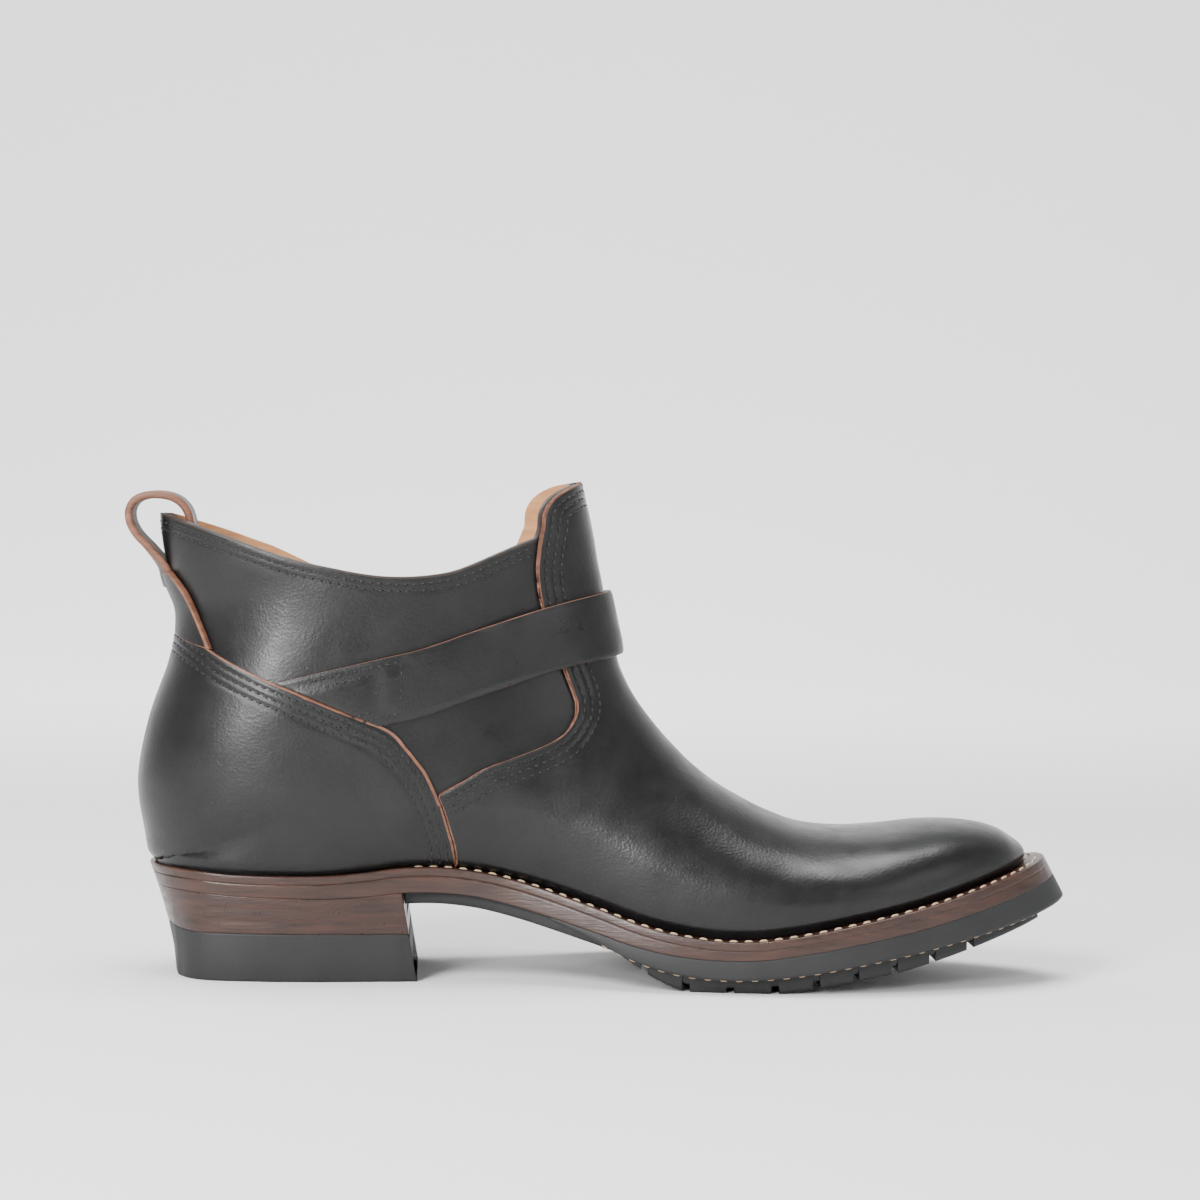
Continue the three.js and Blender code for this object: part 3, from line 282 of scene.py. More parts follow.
def section_line(u):
    """The two ends of a section in the side view, and its row.

    By the heel the bottom point closes in on the back with the square of the sections still to go."""
    row = section_row(u)
    on_welt = (u >= TOE_SECTION) & (u <= HEEL_SECTION)
    rounding = HEEL_SHARE * (HEEL_SECTION - u) ** 2
    share = np.where((u > HEEL_SECTION - 1) & on_welt, rounding, row[..., 0])
    bottom_x = np.where(u > HEEL_SECTION, x_at(share), np.maximum(x_at(share), x_at(0)))
    lift = np.where(on_welt, 0, np.maximum(0, row[..., 1])) * UPPER_HEIGHT
    bottom = np.stack([bottom_x, sole_top(bottom_x) + WELT_GAP + lift], -1)
    crest = np.stack([x_at(row[..., 2]), z_at(row[..., 3])], -1)
    return bottom, crest, row, on_welt


def drawn_surface(u, ring):
    """A point of the upper's outside. The ring's sign is the side and its size the share from bottom to
    crest.

    Up to the widest place the half width grows as sin^(2/below) and the height as 1 - cos^(2/below); above
    it the half width falls as cos^(2/above) and the height rises as sin^(2/above), as on a superellipse.
    Round the heel the lower part is the same oval cut off at the feather, so it runs smoothly into the
    heel's back."""
    u, ring = np.broadcast_arrays(np.asarray(u, float), np.asarray(ring, float))
    ring = np.where(ring > 1, ring - 2, np.where(ring < -1, ring + 2, ring))
    side = np.where(ring < 0, MEDIAL, LATERAL)
    share = np.abs(ring)
    bottom, crest, row, on_welt = section_line(u)
    feather = half_width(outline_row(angle_at((bottom[..., 0] + SEAT_BEHIND_ORIGIN) / LAST_LENGTH)), side)
    feather = np.where(on_welt, feather, 0)
    widest = half_width(row[..., 4:6], side)
    low = share < WIDEST
    turn = math.pi / 2 * np.clip(np.where(low, share / WIDEST, (share - WIDEST) / (1 - WIDEST)), 0, 1)
    below, above = 2 / row[..., 7], 2 / row[..., 8]
    sine = np.maximum(np.sin(turn), 0)
    cosine = np.maximum(np.cos(turn), 0)
    half = np.where(low, feather + (widest - feather) * sine ** below, widest * cosine ** above)
    up = np.where(low, row[..., 6] * (1 - cosine ** below), row[..., 6] + (1 - row[..., 6]) * sine ** above)
    first = np.arcsin(np.clip(feather / np.maximum(widest, 1e-6), 0, 0.98) ** (1 / below))
    past = first + (math.pi / 2 - first) * np.clip(share / WIDEST, 0, 1)
    heel = smooth(HEEL_SECTION - 3, HEEL_SECTION - 0.5, u) * low
    half = half + (widest * np.sin(past) ** below - half) * heel
    cut_up = 1 - np.maximum(np.cos(past), 0) ** below / np.cos(first) ** below
    up = up + (row[..., 6] * cut_up - up) * heel
    flat = bottom + (crest - bottom) * up[..., None]
    return np.stack([flat[..., 0], side * np.maximum(half, 0), flat[..., 1]], -1)


def surface(u, ring):
    """The drawn surface; about the heel's lower back corner, its weighted mean over nine sections nearby.

    The mean's reach is a Gaussian of the distance from that section, and falls to nothing at the feather."""
    u, ring = np.broadcast_arrays(np.asarray(u, float), np.asarray(ring, float))
    share = np.abs(np.where(ring > 1, ring - 2, np.where(ring < -1, ring + 2, ring)))
    reach = HEEL_REACH * np.exp(-((u - HEEL_SECTION) / HEEL_REACH) ** 2) * smooth(0.0, 0.12, share)
    steps = np.linspace(-1, 1, 9)
    weights = (1 - np.abs(steps) ** 2 * 0.98) ** 2
    total = sum(weight * drawn_surface(u + reach * step, ring) for step, weight in zip(steps, weights))
    return total / weights.sum()


def normal(u, ring):
    """The outward direction: the cross product of the steps along and round, laid level beside the welt."""
    u, ring = np.broadcast_arrays(np.asarray(u, float), np.asarray(ring, float))
    side = np.where(ring < 0, MEDIAL, LATERAL)
    share = np.abs(ring)
    by_welt = (u > TOE_SECTION - 0.5) & (u < HEEL_SECTION + 0.001)
    ahead = np.where(by_welt, np.maximum(share + 0.02, 0.1), share + 0.02)
    behind = np.where(by_welt, np.maximum(share - 0.02, 0), share - 0.02)
    round_step = surface(u, side * ahead) - surface(u, side * behind)
    u_low, u_high = np.maximum(u - 0.12, -0.4), u + 0.12
    near_edge = by_welt & (share < 0.02)
    u_low = np.where(near_edge, np.maximum(u_low, TOE_SECTION), u_low)
    u_high = np.where(near_edge, np.minimum(u_high, HEEL_SECTION), u_high)
    along_step = surface(u_high, ring) - surface(u_low, ring)
    cross = np.cross(along_step, round_step) * side[..., None]
    over_crest = np.cross(along_step, surface(u, -0.97 + 0 * u) - surface(u, 0.97 + 0 * u))
    cross = np.where((share >= 1)[..., None], over_crest, cross)
    length = np.linalg.norm(cross, axis=-1, keepdims=True)
    out = cross / np.maximum(length, 1e-9)
    row = section_row(u)
    middle_x, middle_z = x_at((row[..., 0] + row[..., 2]) / 2), z_at((row[..., 1] + row[..., 3]) / 2)
    middle = np.stack([middle_x, 0 * u, middle_z], -1)
    out = out * np.sign((out * (surface(u, ring) - middle)).sum(-1, keepdims=True) + 1e-9)
    out = np.where((u < 0.05)[..., None], np.array([0.97, 0, 0.24]), out)
    slope = sole_slope(surface(u, ring)[..., 0])
    up = np.stack([-np.sin(slope), 0 * slope, np.cos(slope)], -1)
    rise = (out * up).sum(-1)
    low = (1 - smooth(0.15, 0.3, share)) * (1 - smooth(HEEL_SECTION, HEEL_SECTION + 3, u))
    out = out - up * (np.minimum(rise, 0) * low)[..., None]
    return out / np.maximum(np.linalg.norm(out, axis=-1, keepdims=True), 1e-9)


def off(u, ring, distance):
    """The surface moved out by a distance; at the feather it is tucked in and down onto the welt."""
    u, ring, distance = (np.asarray(values, float) for values in (u, ring, distance))
    u, ring, distance = np.broadcast_arrays(u, ring, distance)
    place = surface(u, ring)
    tuck = 1 - smooth(0, 3.2, place[..., 2] - sole_top(place[..., 0]) - WELT_GAP)
    moved = distance * np.where(distance > 0, 1 - 0.5 * tuck, 1)
    out = place + normal(u, ring) * moved[..., None]
    out[..., 2] = out[..., 2] - 0.5 * tuck
    return out


def place_on(x, z):
    """The section and share at a side-view point: bisect for the slanted line through it, then invert its
    height."""
    x, z = np.broadcast_arrays(np.asarray(x, float), np.asarray(z, float))
    low, high = np.full(x.shape, float(ANKLE_SECTION)), np.full(x.shape, float(LAST_SECTION))
    for _ in range(36):
        middle = (low + high) / 2
        bottom, crest, row, _ = section_line(middle)
        d = crest - bottom
        ahead = d[..., 0] * (z - bottom[..., 1]) - d[..., 1] * (x - bottom[..., 0]) > 0
        low, high = np.where(ahead, middle, low), np.where(ahead, high, middle)
    bottom, crest, row, _ = section_line(low)
    d = crest - bottom
    along = (x - bottom[..., 0]) * d[..., 0] + (z - bottom[..., 1]) * d[..., 1]
    up = np.clip(along / (d * d).sum(-1), 0, 1)
    widest = row[..., 6]
    turn_low = np.arccos(np.clip(1 - up / widest, 0, 1) ** (row[..., 7] / 2))
    turn_high = np.arcsin(np.clip((up - widest) / (1 - widest), 0, 1) ** (row[..., 8] / 2))
    whole = np.where(up < widest, WIDEST * turn_low, WIDEST * math.pi / 2 + (1 - WIDEST) * turn_high)
    share = whole / (math.pi / 2)
    return low, share


tried_section, tried_share = place_on(np.array([0.0, 60]), np.array([90.0, 120]))
print("surface round trip", surface(tried_section, -tried_share).round(2).tolist())

# %% [markdown]
# ## Finishes
# Black smooth leather has a fine pebble grain, a satin finish and a little polish on top. Its raw edges are
# brown where the dye stops. The lining is tan. The sole leather is stained reddish brown and burnished, with
# long fibres. The rubber is matte. Each finish is worked out in the piece's own coordinates.

# %% Finishes
def shader_of(made):
    """The material's main shader."""
    return made.node_tree.nodes["Principled BSDF"]


def finish(name, colour, rough, metallic=0.0, coat=0.0, shine=0.4):
    """A material with its shader's plain values set, and its node tree."""
    made = bpy.data.materials.new(name)
    made.use_nodes = True
    plain = {"Base Color": (*colour, 1), "Roughness": rough, "Metallic": metallic, "Coat Weight": coat,
             "Coat Roughness": 0.3, "Specular IOR Level": shine}
    for name, value in plain.items():
        shader_of(made).inputs[name].default_value = value
    made.diffuse_color = (*colour, 1)
    return made


def node(made, kind, **values):
    """A node of a kind, with its inputs set."""
    new = made.node_tree.nodes.new(kind)
    for name, value in values.items():
        new.inputs[name].default_value = value
    return new


def place_of(made, stretch=(1, 1, 1)):
    """The piece's own coordinates, stretched."""
    where = made.node_tree.nodes.new("ShaderNodeTexCoord")
    turned = node(made, "ShaderNodeMapping", Scale=stretch)
    made.node_tree.links.new(where.outputs["Object"], turned.inputs["Vector"])
    return turned.outputs["Vector"]


def noise(made, size, stretch=(1, 1, 1), detail=3.0):
    """Noise with features of a size in millimetres."""
    new = node(made, "ShaderNodeTexNoise", Scale=1000 / size, Detail=detail)
    made.node_tree.links.new(place_of(made, stretch), new.inputs["Vector"])
    return new.outputs["Fac"]


def cells(made, size):
    """Rounded cells of a size in millimetres, for a pebble grain."""
    new = node(made, "ShaderNodeTexVoronoi", Scale=1000 / size)
    new.feature = "SMOOTH_F1"
    made.node_tree.links.new(place_of(made), new.inputs["Vector"])
    return new.outputs["Distance"]


def between(made, value, low, high, socket):
    """Maps 0.3 to 0.7 of a value onto low to high, into a socket."""
    ends = {"From Min": 0.3, "From Max": 0.7, "To Min": low, "To Max": high}
    ramp = node(made, "ShaderNodeMapRange", **ends)
    made.node_tree.links.new(value, ramp.inputs["Value"])
    made.node_tree.links.new(ramp.outputs["Result"], socket)


def tint(made, value, first, second):
    """The base colour runs from one colour to another with a value."""
    mix = made.node_tree.nodes.new("ShaderNodeMix")
    mix.data_type = "RGBA"
    mix.inputs[6].default_value = (*first, 1)
    mix.inputs[7].default_value = (*second, 1)
    between(made, value, 0, 1, mix.inputs[0])
    made.node_tree.links.new(mix.outputs[2], shader_of(made).inputs["Base Color"])


def bump(made, layers):
    """Bumps chained one on another; each is a value and its height in millimetres."""
    last = None
    for value, height in layers:
        new = node(made, "ShaderNodeBump", Strength=1.0, Distance=height * MM)
        made.node_tree.links.new(value, new.inputs["Height"])
        if last is not None:
            made.node_tree.links.new(last, new.inputs["Normal"])
        last = new.outputs["Normal"]
    made.node_tree.links.new(last, shader_of(made).inputs["Normal"])


def black_leather(name, rough, coat=0.12):
    """Black grained leather: a pebble of cells, finer noise, broad soft waves, and roughness that
    wanders."""
    made = finish(name, (0.004, 0.004, 0.0045), rough, coat=coat, shine=0.3)
    tint(made, noise(made, 14), (0.003, 0.003, 0.0033), (0.0062, 0.006, 0.006))
    between(made, noise(made, 9), rough - 0.06, rough + 0.07, shader_of(made).inputs["Roughness"])
    bump(made,
         [(noise(made, 30, detail=2), 0.4), (noise(made, 2.2, detail=5), 0.045), (cells(made, 0.8), 0.06)])
    return made


def brown_edge(name, first, second, rough):
    """A cut or burnished leather edge: brown, with fibres drawn out along it."""
    made = finish(name, first, rough, coat=0.1)
    tint(made, noise(made, 4, stretch=(0.25, 0.25, 2.2), detail=5), first, second)
    between(made, noise(made, 3), rough - 0.08, rough + 0.1, shader_of(made).inputs["Roughness"])
    bump(made, [(noise(made, 1.4, stretch=(0.2, 0.2, 2.5), detail=4), 0.1), (noise(made, 0.5), 0.02)])
    return made


def rubber(name, colour, rough):
    """Matte rubber: fine mould texture and a little dust."""
    made = finish(name, colour, rough)
    tint(made, noise(made, 18, detail=5), colour, tuple(c * 1.5 for c in colour))
    bump(made, [(noise(made, 0.6), 0.03)])
    return made


leather = black_leather("upper leather", 0.36)
vamp_leather = black_leather("vamp leather", 0.34, 0.16)
counter_leather = black_leather("counter leather", 0.35, 0.14)
strap_leather = black_leather("strap leather", 0.33, 0.16)
loop_leather = black_leather("loop leather", 0.42)
dyed_edge = brown_edge("dyed edge", (0.01, 0.008, 0.007), (0.03, 0.018, 0.012), 0.5)
raw_edge = brown_edge("raw edge", (0.085, 0.032, 0.018), (0.19, 0.078, 0.042), 0.55)
loop_inside = brown_edge("loop inside", (0.055, 0.05, 0.042), (0.1, 0.09, 0.075), 0.7)
lining = brown_edge("lining", (0.38, 0.17, 0.07), (0.5, 0.25, 0.11), 0.7)
insole_leather = brown_edge("insole leather", (0.42, 0.24, 0.12), (0.52, 0.31, 0.17), 0.7)
welt_leather = brown_edge("welt leather", (0.02, 0.0085, 0.0058), (0.045, 0.018, 0.011), 0.36)
heel_leather = brown_edge("heel leather", (0.016, 0.007, 0.005), (0.044, 0.017, 0.0105), 0.34)
sole_rubber = rubber("sole rubber", (0.009, 0.009, 0.0095), 0.6)
black_thread = finish("black thread", (0.007, 0.007, 0.0075), 0.4)
cream_thread = finish("cream thread", (0.42, 0.3, 0.19), 0.65)
for thread in (black_thread, cream_thread):
    bump(thread, [(noise(thread, 0.35), 0.05)])
steel = finish("steel", (0.62, 0.62, 0.64), 0.24, metallic=1.0)
bump(steel, [(noise(steel, 0.8), 0.004)])
print("finishes", len(bpy.data.materials))

# %% [markdown]
# ## Making surfaces
# A panel is cut from a hide of one thickness, so its mesh is an outer and an inner sheet with a wall round
# the rim. The rim gets the raw-edge finish and the inner sheet the lining's.

# %% Builders
def grid_faces(rows, columns, closed=False):
    """Four-sided faces over a grid of points, row by row."""
    across = columns if closed else columns - 1
    i, j = np.meshgrid(np.arange(rows - 1), np.arange(across), indexing="ij")
    right = (j + 1) % columns
    return np.stack([i * columns + j, i * columns + right, (i + 1) * columns + right, (i + 1) * columns + j],
                    -1).reshape(-1, 4)


def weld(points, faces, places=2):
    """One vertex for each place, rounded to a decimal; the first of each set and the faces renumbered."""
    _, first, inverse = np.unique(np.round(points, places) + 0.0, axis=0, return_index=True,
                                  return_inverse=True)
    return first, inverse.ravel()[faces]


def make(name, points, faces, slots, materials, material_index=None, edge=0.0):
    """A mesh object from points in millimetres, turned outwards if its signed volume is negative."""
    a, b, c, d = (points[faces[:, k]] for k in range(4))
    volume = (np.cross(b - a, c - a) * a).sum() + (np.cross(c - a, d - a) * a).sum()
    if volume < 0:
        faces = faces[:, ::-1]
    kept = [list(dict.fromkeys(face)) for face in faces.tolist()]
    good = [k for k, face in enumerate(kept) if len(face) > 2]
    mesh = bpy.data.meshes.new(name)
    mesh.from_pydata((points * MM).tolist(), [], [kept[k] for k in good])
    for material in materials:
        mesh.materials.append(material)
    if material_index is not None:
        mesh.polygons.foreach_set("material_index", np.asarray(material_index)[good].astype(np.int32))
    mesh.polygons.foreach_set("use_smooth", np.ones(len(good), bool))
    mesh.update()
    made = bpy.data.objects.new(name, mesh)
    bpy.context.scene.collection.objects.link(made)
    if edge:
        bevel = made.modifiers.new("rounded edge", "BEVEL")
        bevel.width = edge * MM
        bevel.segments = 2
        bevel.limit_method = "ANGLE"
        bevel.angle_limit = math.radians(50)
    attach(made, "root")
    if slots:
        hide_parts(*slots)
    print(name, len(points), "points", len(good), "faces")
    return made


def close_sheets(name, outer, inner, faces, raw, materials, nodes, edge):
    """An outer sheet, the same faces turned over inside, and a wall along each edge that has a single face.

    Outer faces at a raw point of the rim take the wall's finish too."""
    count = len(outer)
    edges = np.stack([faces, np.roll(faces, -1, axis=1)], -1).reshape(-1, 2)
    edges = edges[edges[:, 0] != edges[:, 1]]
    _, where, uses = np.unique(np.sort(edges, axis=1), axis=0, return_index=True, return_counts=True)
    rim = edges[where[uses == 1]]
    walls = np.stack([rim[:, 1], rim[:, 0], rim[:, 0] + count, rim[:, 1] + count], -1)
    on_rim = np.zeros(count, bool)
    on_rim[rim.ravel()] = True
    beside = (on_rim & raw)[faces].any(1)
    index = np.concatenate([beside * 1.0, np.full(len(faces), 2), np.ones(len(walls))])
    whole = np.vstack([faces, faces[:, ::-1] + count, walls])
    return make(name, np.vstack([outer, inner]), whole, nodes, materials, index, edge)


def slab(name, patches, outside, inside, materials, nodes, edge=0.35):
    """A panel with thickness. Patches are grids of section and ring; outside and inside give the distances.

    Each sheet is the surface moved out by its distance. Beside the cut edge the raw leather shows, but not
    beside the welt."""
    outer_points, inner_points, faces, raw, start = [], [], [], [], 0
    for u, ring in patches:
        raw.append((np.abs(ring) > 0.02).ravel())
        place = surface(u, ring)
        sheets = [off(u, ring, outside(u, ring, place)), off(u, ring, inside(u, ring, place))]
        outer_points.append(sheets[0].reshape(-1, 3))
        inner_points.append(sheets[1].reshape(-1, 3))
        found = grid_faces(*u.shape) + start
        if np.median(ring) > 0:
            found = found[:, ::-1]
        faces.append(found)
        start += u.size
    outer_points, inner_points = np.vstack(outer_points), np.vstack(inner_points)
    first, faces = weld(outer_points, np.vstack(faces))
    return close_sheets(name, outer_points[first], inner_points[first], faces, np.hstack(raw)[first],
                        materials, nodes, edge)


def columns(start, end, edge_rows, edge_width, far_rows):
    """Straight lines in section and ring from start to end, with closer rows beside the end.

    The last rows stand at even distances from the end, or at shares of the line where it is short."""
    share = np.linspace(0, 1, 9)[:, None]
    u = start[0] + (end[0] - start[0]) * share
    ring = start[1] + (end[1] - start[1]) * share
    length = np.linalg.norm(np.diff(surface(u, ring), axis=0), axis=-1).sum(0) + 1e-6
    reach = np.minimum(edge_width, 0.6 * length) / length
    near = 1 - reach * np.linspace(1, 0, edge_rows)[:, None]
    far = (1 - reach) * np.linspace(0, 1, far_rows)[:-1, None]
    share = np.vstack([far, near])
    return start[0] + (end[0] - start[0]) * share, start[1] + (end[1] - start[1]) * share


def polyline(rows, count=160):
    """A smooth side-view line through rows of shares along and up, in millimetres."""
    rows = np.asarray(rows, float)
    line = curve_through(np.arange(len(rows)), np.stack([x_at(rows[:, 0]), z_at(rows[:, 1])], -1))
    return line(np.linspace(0, len(rows) - 1, count))


def even(points, count):
    """A line's points at even steps along its length."""
    length = np.concatenate([[0], np.cumsum(np.linalg.norm(np.diff(points, axis=0), axis=1))])
    at = np.linspace(0, length[-1], count)
    return np.stack([np.interp(at, length, points[:, k]) for k in range(points.shape[1])], -1)


def shifted(points, distance):
    """A side-view line moved to the left of its direction."""
    along = np.gradient(points, axis=0)
    along = along / np.linalg.norm(along, axis=1, keepdims=True)
    return points + distance * np.stack([-along[:, 1], along[:, 0]], -1)


def distance_to(place, line):
    """The side-view distance from each place to a line of points."""
    flat = place[..., [0, 2]].reshape(-1, 2)
    parts = [np.sqrt(((block[:, None] - line[None]) ** 2).sum(-1).min(1))
             for block in np.array_split(flat, max(1, len(flat) // 4000))]
    return np.concatenate(parts).reshape(place.shape[:-1])


def groove(place, line, rows, depth=0.24, roll=0.4):
    """Leather pulled down along stitch rows, and rolled off at the cut edge: a sum of Gaussians of the
    distance."""
    d = distance_to(place, even(line, 420))
    dip = sum(np.exp(-((d - row) / 0.62) ** 2) for row in rows)
    return -depth * dip - roll * np.exp(-(d / 0.75) ** 2)


# %% [markdown]
# ## The cut lines
# The pattern's edges, drawn from the side: the collar with the front flap, the counter and the vamp. Shares
# along the last and up the upper. The flap's edge runs a little farther back on the outer side.

# %% Cut lines
FLAP_SET_BACK = 3.2
COLLAR_DROP = 5.5
SIDES = (MEDIAL, LATERAL)
collar_rows = [(-0.03, 0.925), (-0.003, 0.914), (0.03, 0.892), (0.067, 0.866), (0.102, 0.839),
               (0.148, 0.807), (0.194, 0.786), (0.239, 0.77), (0.273, 0.766), (0.307, 0.771),
               (0.34, 0.786), (0.385, 0.828), (0.415, 0.857)]
flap_rows = [(0.428, 0.868), (0.432, 0.893), (0.433, 0.928), (0.438, 0.955), (0.446, 0.975), (0.46, 0.995),
             (0.478, 1.01), (0.51, 1.02)]
counter_rows = [(-0.05, 0.645), (0.018, 0.622), (0.05, 0.586), (0.073, 0.554), (0.097, 0.527),
                (0.132, 0.493), (0.167, 0.463), (0.202, 0.43), (0.236, 0.398), (0.26, 0.373), (0.283, 0.331),
                (0.299, 0.29), (0.307, 0.265), (0.32, 0.204), (0.332, 0.129), (0.339, 0.062), (0.342, -0.05)]
vamp_rows = [(0.4285, 0.85), (0.427, 0.78), (0.433, 0.695), (0.446, 0.615), (0.459, 0.535), (0.472, 0.461),
             (0.4745, 0.435), (0.473, 0.409), (0.465, 0.377), (0.452, 0.352), (0.427, 0.326), (0.392, 0.298),
             (0.369, 0.278), (0.347, 0.249), (0.3, 0.19)]


def set_back(line, side):
    """The outer side's flap edge runs farther back, fading in up the ankle and out again at the crest."""
    share = smooth(z_at(0.43), z_at(0.62), line[:, 1]) * (1 - smooth(x_at(0.455), x_at(0.505), line[:, 0]))
    return np.stack([line[:, 0] - (FLAP_SET_BACK * share if side > 0 else 0), line[:, 1]], -1)


def flap_line(side):
    """The front flap's cut edge on a side, in the side view."""
    return set_back(polyline(flap_rows, 90), side)


def collar_line(side):
    """The collar from the heel's back to the flap, then over the flap; it dips more on the outer side."""
    collar = polyline(collar_rows, 160)
    if side > 0:
        x = collar[:, 0]
        share = smooth(x_at(0.11), x_at(0.23), x) * (1 - smooth(x_at(0.38), x_at(0.5), x))
        collar[:, 1] = collar[:, 1] - COLLAR_DROP * share
    flap = flap_line(side)
    return even(np.vstack([collar[collar[:, 0] < flap[0, 0] - 2.5], flap]), 260)


counter_line = even(polyline(counter_rows, 240), 260)


def vamp_edge(side):
    """The vamp's rear edge from the welt: up the counter's edge, along the vamp's own and up the flap to its
    top."""
    own = set_back(polyline(vamp_rows, 200), side)[::-1]
    counter = counter_line[::-1]
    apart = np.linalg.norm(counter[:, None] - own[None], axis=-1)
    i, j = np.unravel_index(apart.argmin(), apart.shape)
    flap = flap_line(side)
    flap = flap[flap[:, 1] > own[-1, 1] + 4]
    return even(np.vstack([counter[:i] + np.array([GAP, 0]), own[j + 1:], flap]), 220), own[j + 1:]


def on_surface(line, end_low=True):
    """A side-view line as section and share, without what lies past the surface; its ends are set to 0 or
    1."""
    u, share = place_on(line[:, 0], line[:, 1])
    kept = share > 1e-3
    u, share = u[kept], share[kept].copy()
    share[0] = 0
    share[-1] = 0 if end_low else 1
    return u, share


def ringed(share, side):
    """A share on a side as a ring coordinate; zero keeps its side."""
    return side * np.maximum(share, 1e-9)


# %% [markdown]
# ## Creases
# Wear has set soft folds in the vamp: one broad dip across the toe's break and finer lines beside it, and
# soft rolls at the ankle. They are drawn in the side view, in millimetres, and fade out at their ends.

# %% Creases
# Each crease: its points, how wide it is and how high, negative for a dip.
creases = [
    ([(150, 50), (165, 44), (182, 39), (205, 36)], 4.2, -0.3),
    ([(145, 57), (160, 51), (178, 46), (200, 43)], 4.4, 0.22),
    ([(128, 70), (138, 58), (150, 47), (160, 40)], 4.2, -0.2),
    ([(121, 72), (132, 60), (142, 50), (152, 42)], 4.2, 0.16),
    ([(110, 84), (122, 70), (132, 60)], 4.4, -0.16),
    ([(90, 96), (98, 92), (106, 92)], 4.0, -0.2),
    ([(92, 88), (100, 84), (108, 84)], 4.0, 0.16),
]


def worn(place):
    """The sum of the creases at a place: each is its height times a Gaussian of the distance across it."""
    total = 0
    for points, width, height in creases:
        line = even(np.asarray(points, float), 40)
        d = distance_to(place, line)
        total = total + height * np.exp(-(d / width) ** 2)
    return total


# %% [markdown]
# ## Quarters
# The quarters and their lining are one hollow layer over the whole last. A real maker closes them at the
# back and lasts them with the vamp; here the hidden front runs on under the vamp to the toe.

# %% Upper
QUARTER_START = 13
COLLAR_ROWS = (2.4, 4.6)
VAMP_STITCH_ROWS = (2.5, 5.0, 7.5)
COUNTER_STITCH_ROWS = (2.5, 5.0, 7.6)


def upper_patches(side):
    """The quarter from its first section up to the collar in columns, and the hidden front before it."""
    u_top, share_top = on_surface(collar_line(side), False)
    t = np.linspace(0, 1, len(u_top))
    base = 0.5 * t + 0.5 * np.maximum.accumulate(share_top)
    back = columns((np.full_like(t, QUARTER_START), ringed(base, side)), (u_top, ringed(share_top, side)),
                   12, 8, 40)
    rows = np.concatenate([np.linspace(0, 2, 9), np.linspace(2, QUARTER_START, 34)[1:]])[:, None]
    front = (rows + 0 * base, ringed(base, side) + 0 * rows)
    return [back, front]


collar_lines = {side: collar_line(side) for side in SIDES}


def side_of(ring):
    """The side of the boot that a patch lies on."""
    return MEDIAL if np.median(ring) < 0 else LATERAL


def level(distance):
    """A sheet at one distance from the surface."""
    return lambda u, ring, place: distance + 0 * u


def quarter_out(u, ring, place):
    """The quarter's outside: the surface itself, grooved along the collar."""
    return np.where(u > QUARTER_START, groove(place, collar_lines[side_of(ring)], COLLAR_ROWS, 0.12, 0.2), 0)


slab("upper", [patch for side in SIDES for patch in upper_patches(side)], quarter_out, level(-WALL),
     [leather, dyed_edge, lining], ["upper"], 0.5)

# %% [markdown]
# ## Vamp
# The vamp is one piece of leather pulled over the toe and up into the front flap. It is ruled in two parts:
# the toe in sections, and from there lines back to its cut edge.

# %% Vamp
TURN = 0.5


def vamp_patches(side):
    """The toe's sections, then columns from the last of them and from the crest back to the edge."""
    edge = vamp_edges[side][0]
    u_edge, share_edge = on_surface(edge, False)
    t = np.linspace(0, 1, len(u_edge))
    rising = np.clip((t - TURN) / (1 - TURN), 0, 1)
    start_u = ANKLE_SECTION + (u_edge[-1] - ANKLE_SECTION) * rising
    start_share = np.clip(t / TURN, 0, 1)
    back = columns((start_u, ringed(start_share, side)), (u_edge, ringed(share_edge, side)), 16, 9, 22)
    shares = start_share[t <= TURN]
    shares = np.append(shares, 1) if shares[-1] < 1 else shares
    rows = np.concatenate([np.linspace(0, 3, 22), np.linspace(3, ANKLE_SECTION, 64)[1:]])[:, None]
    return [back, (rows + 0 * shares, ringed(shares, side) + 0 * rows)]


vamp_edges = {side: vamp_edge(side) for side in SIDES}


def vamp_out(u, ring, place):
    """The vamp's outside: its leather, the creases, and the grooves along its own edge."""
    line = np.vstack([vamp_edges[side_of(ring)][1], flap_line(side_of(ring))])
    grooves = np.where(u > ANKLE_SECTION, groove(place, line, VAMP_STITCH_ROWS), 0)
    return GAP + VAMP_LEATHER + worn(place) + grooves


slab("vamp", [patch for side in SIDES for patch in vamp_patches(side)], vamp_out, level(GAP),
     [vamp_leather, raw_edge, lining], ["vamp"], 0.4)

# %% [markdown]
# ## Counter
# The heel counter is a second layer, moulded round the heel and sewn on with three rows.

# %% Counter
def counter_patch(side):
    """Columns from the heel's back and the welt up to the counter's cut edge."""
    u_edge, share_edge = on_surface(counter_line)
    start_u = np.linspace(u_edge[0], u_edge[-1], len(u_edge))
    return columns((start_u, ringed(0 * start_u, side)), (u_edge, ringed(share_edge, side)), 16, 9, 22)


slab("counter", [counter_patch(side) for side in SIDES],
     lambda u, ring, place: GAP + COUNTER_LEATHER + groove(place, counter_line, COUNTER_STITCH_ROWS),
     level(GAP),
     [counter_leather, raw_edge, lining], ["counter"], 0.4)

# %% [markdown]
# ## Strap
# One strap, cut 20.8 mm wide, starts under the counter on the inner side, crosses the front flap and runs
# through the buckle on the outer side to a rounded end. A place on it is how far round it is (0 to 1 up the
# inner side, 1 to 2 down the outer side) and how far across, and its section is found by bisection on the
# height.

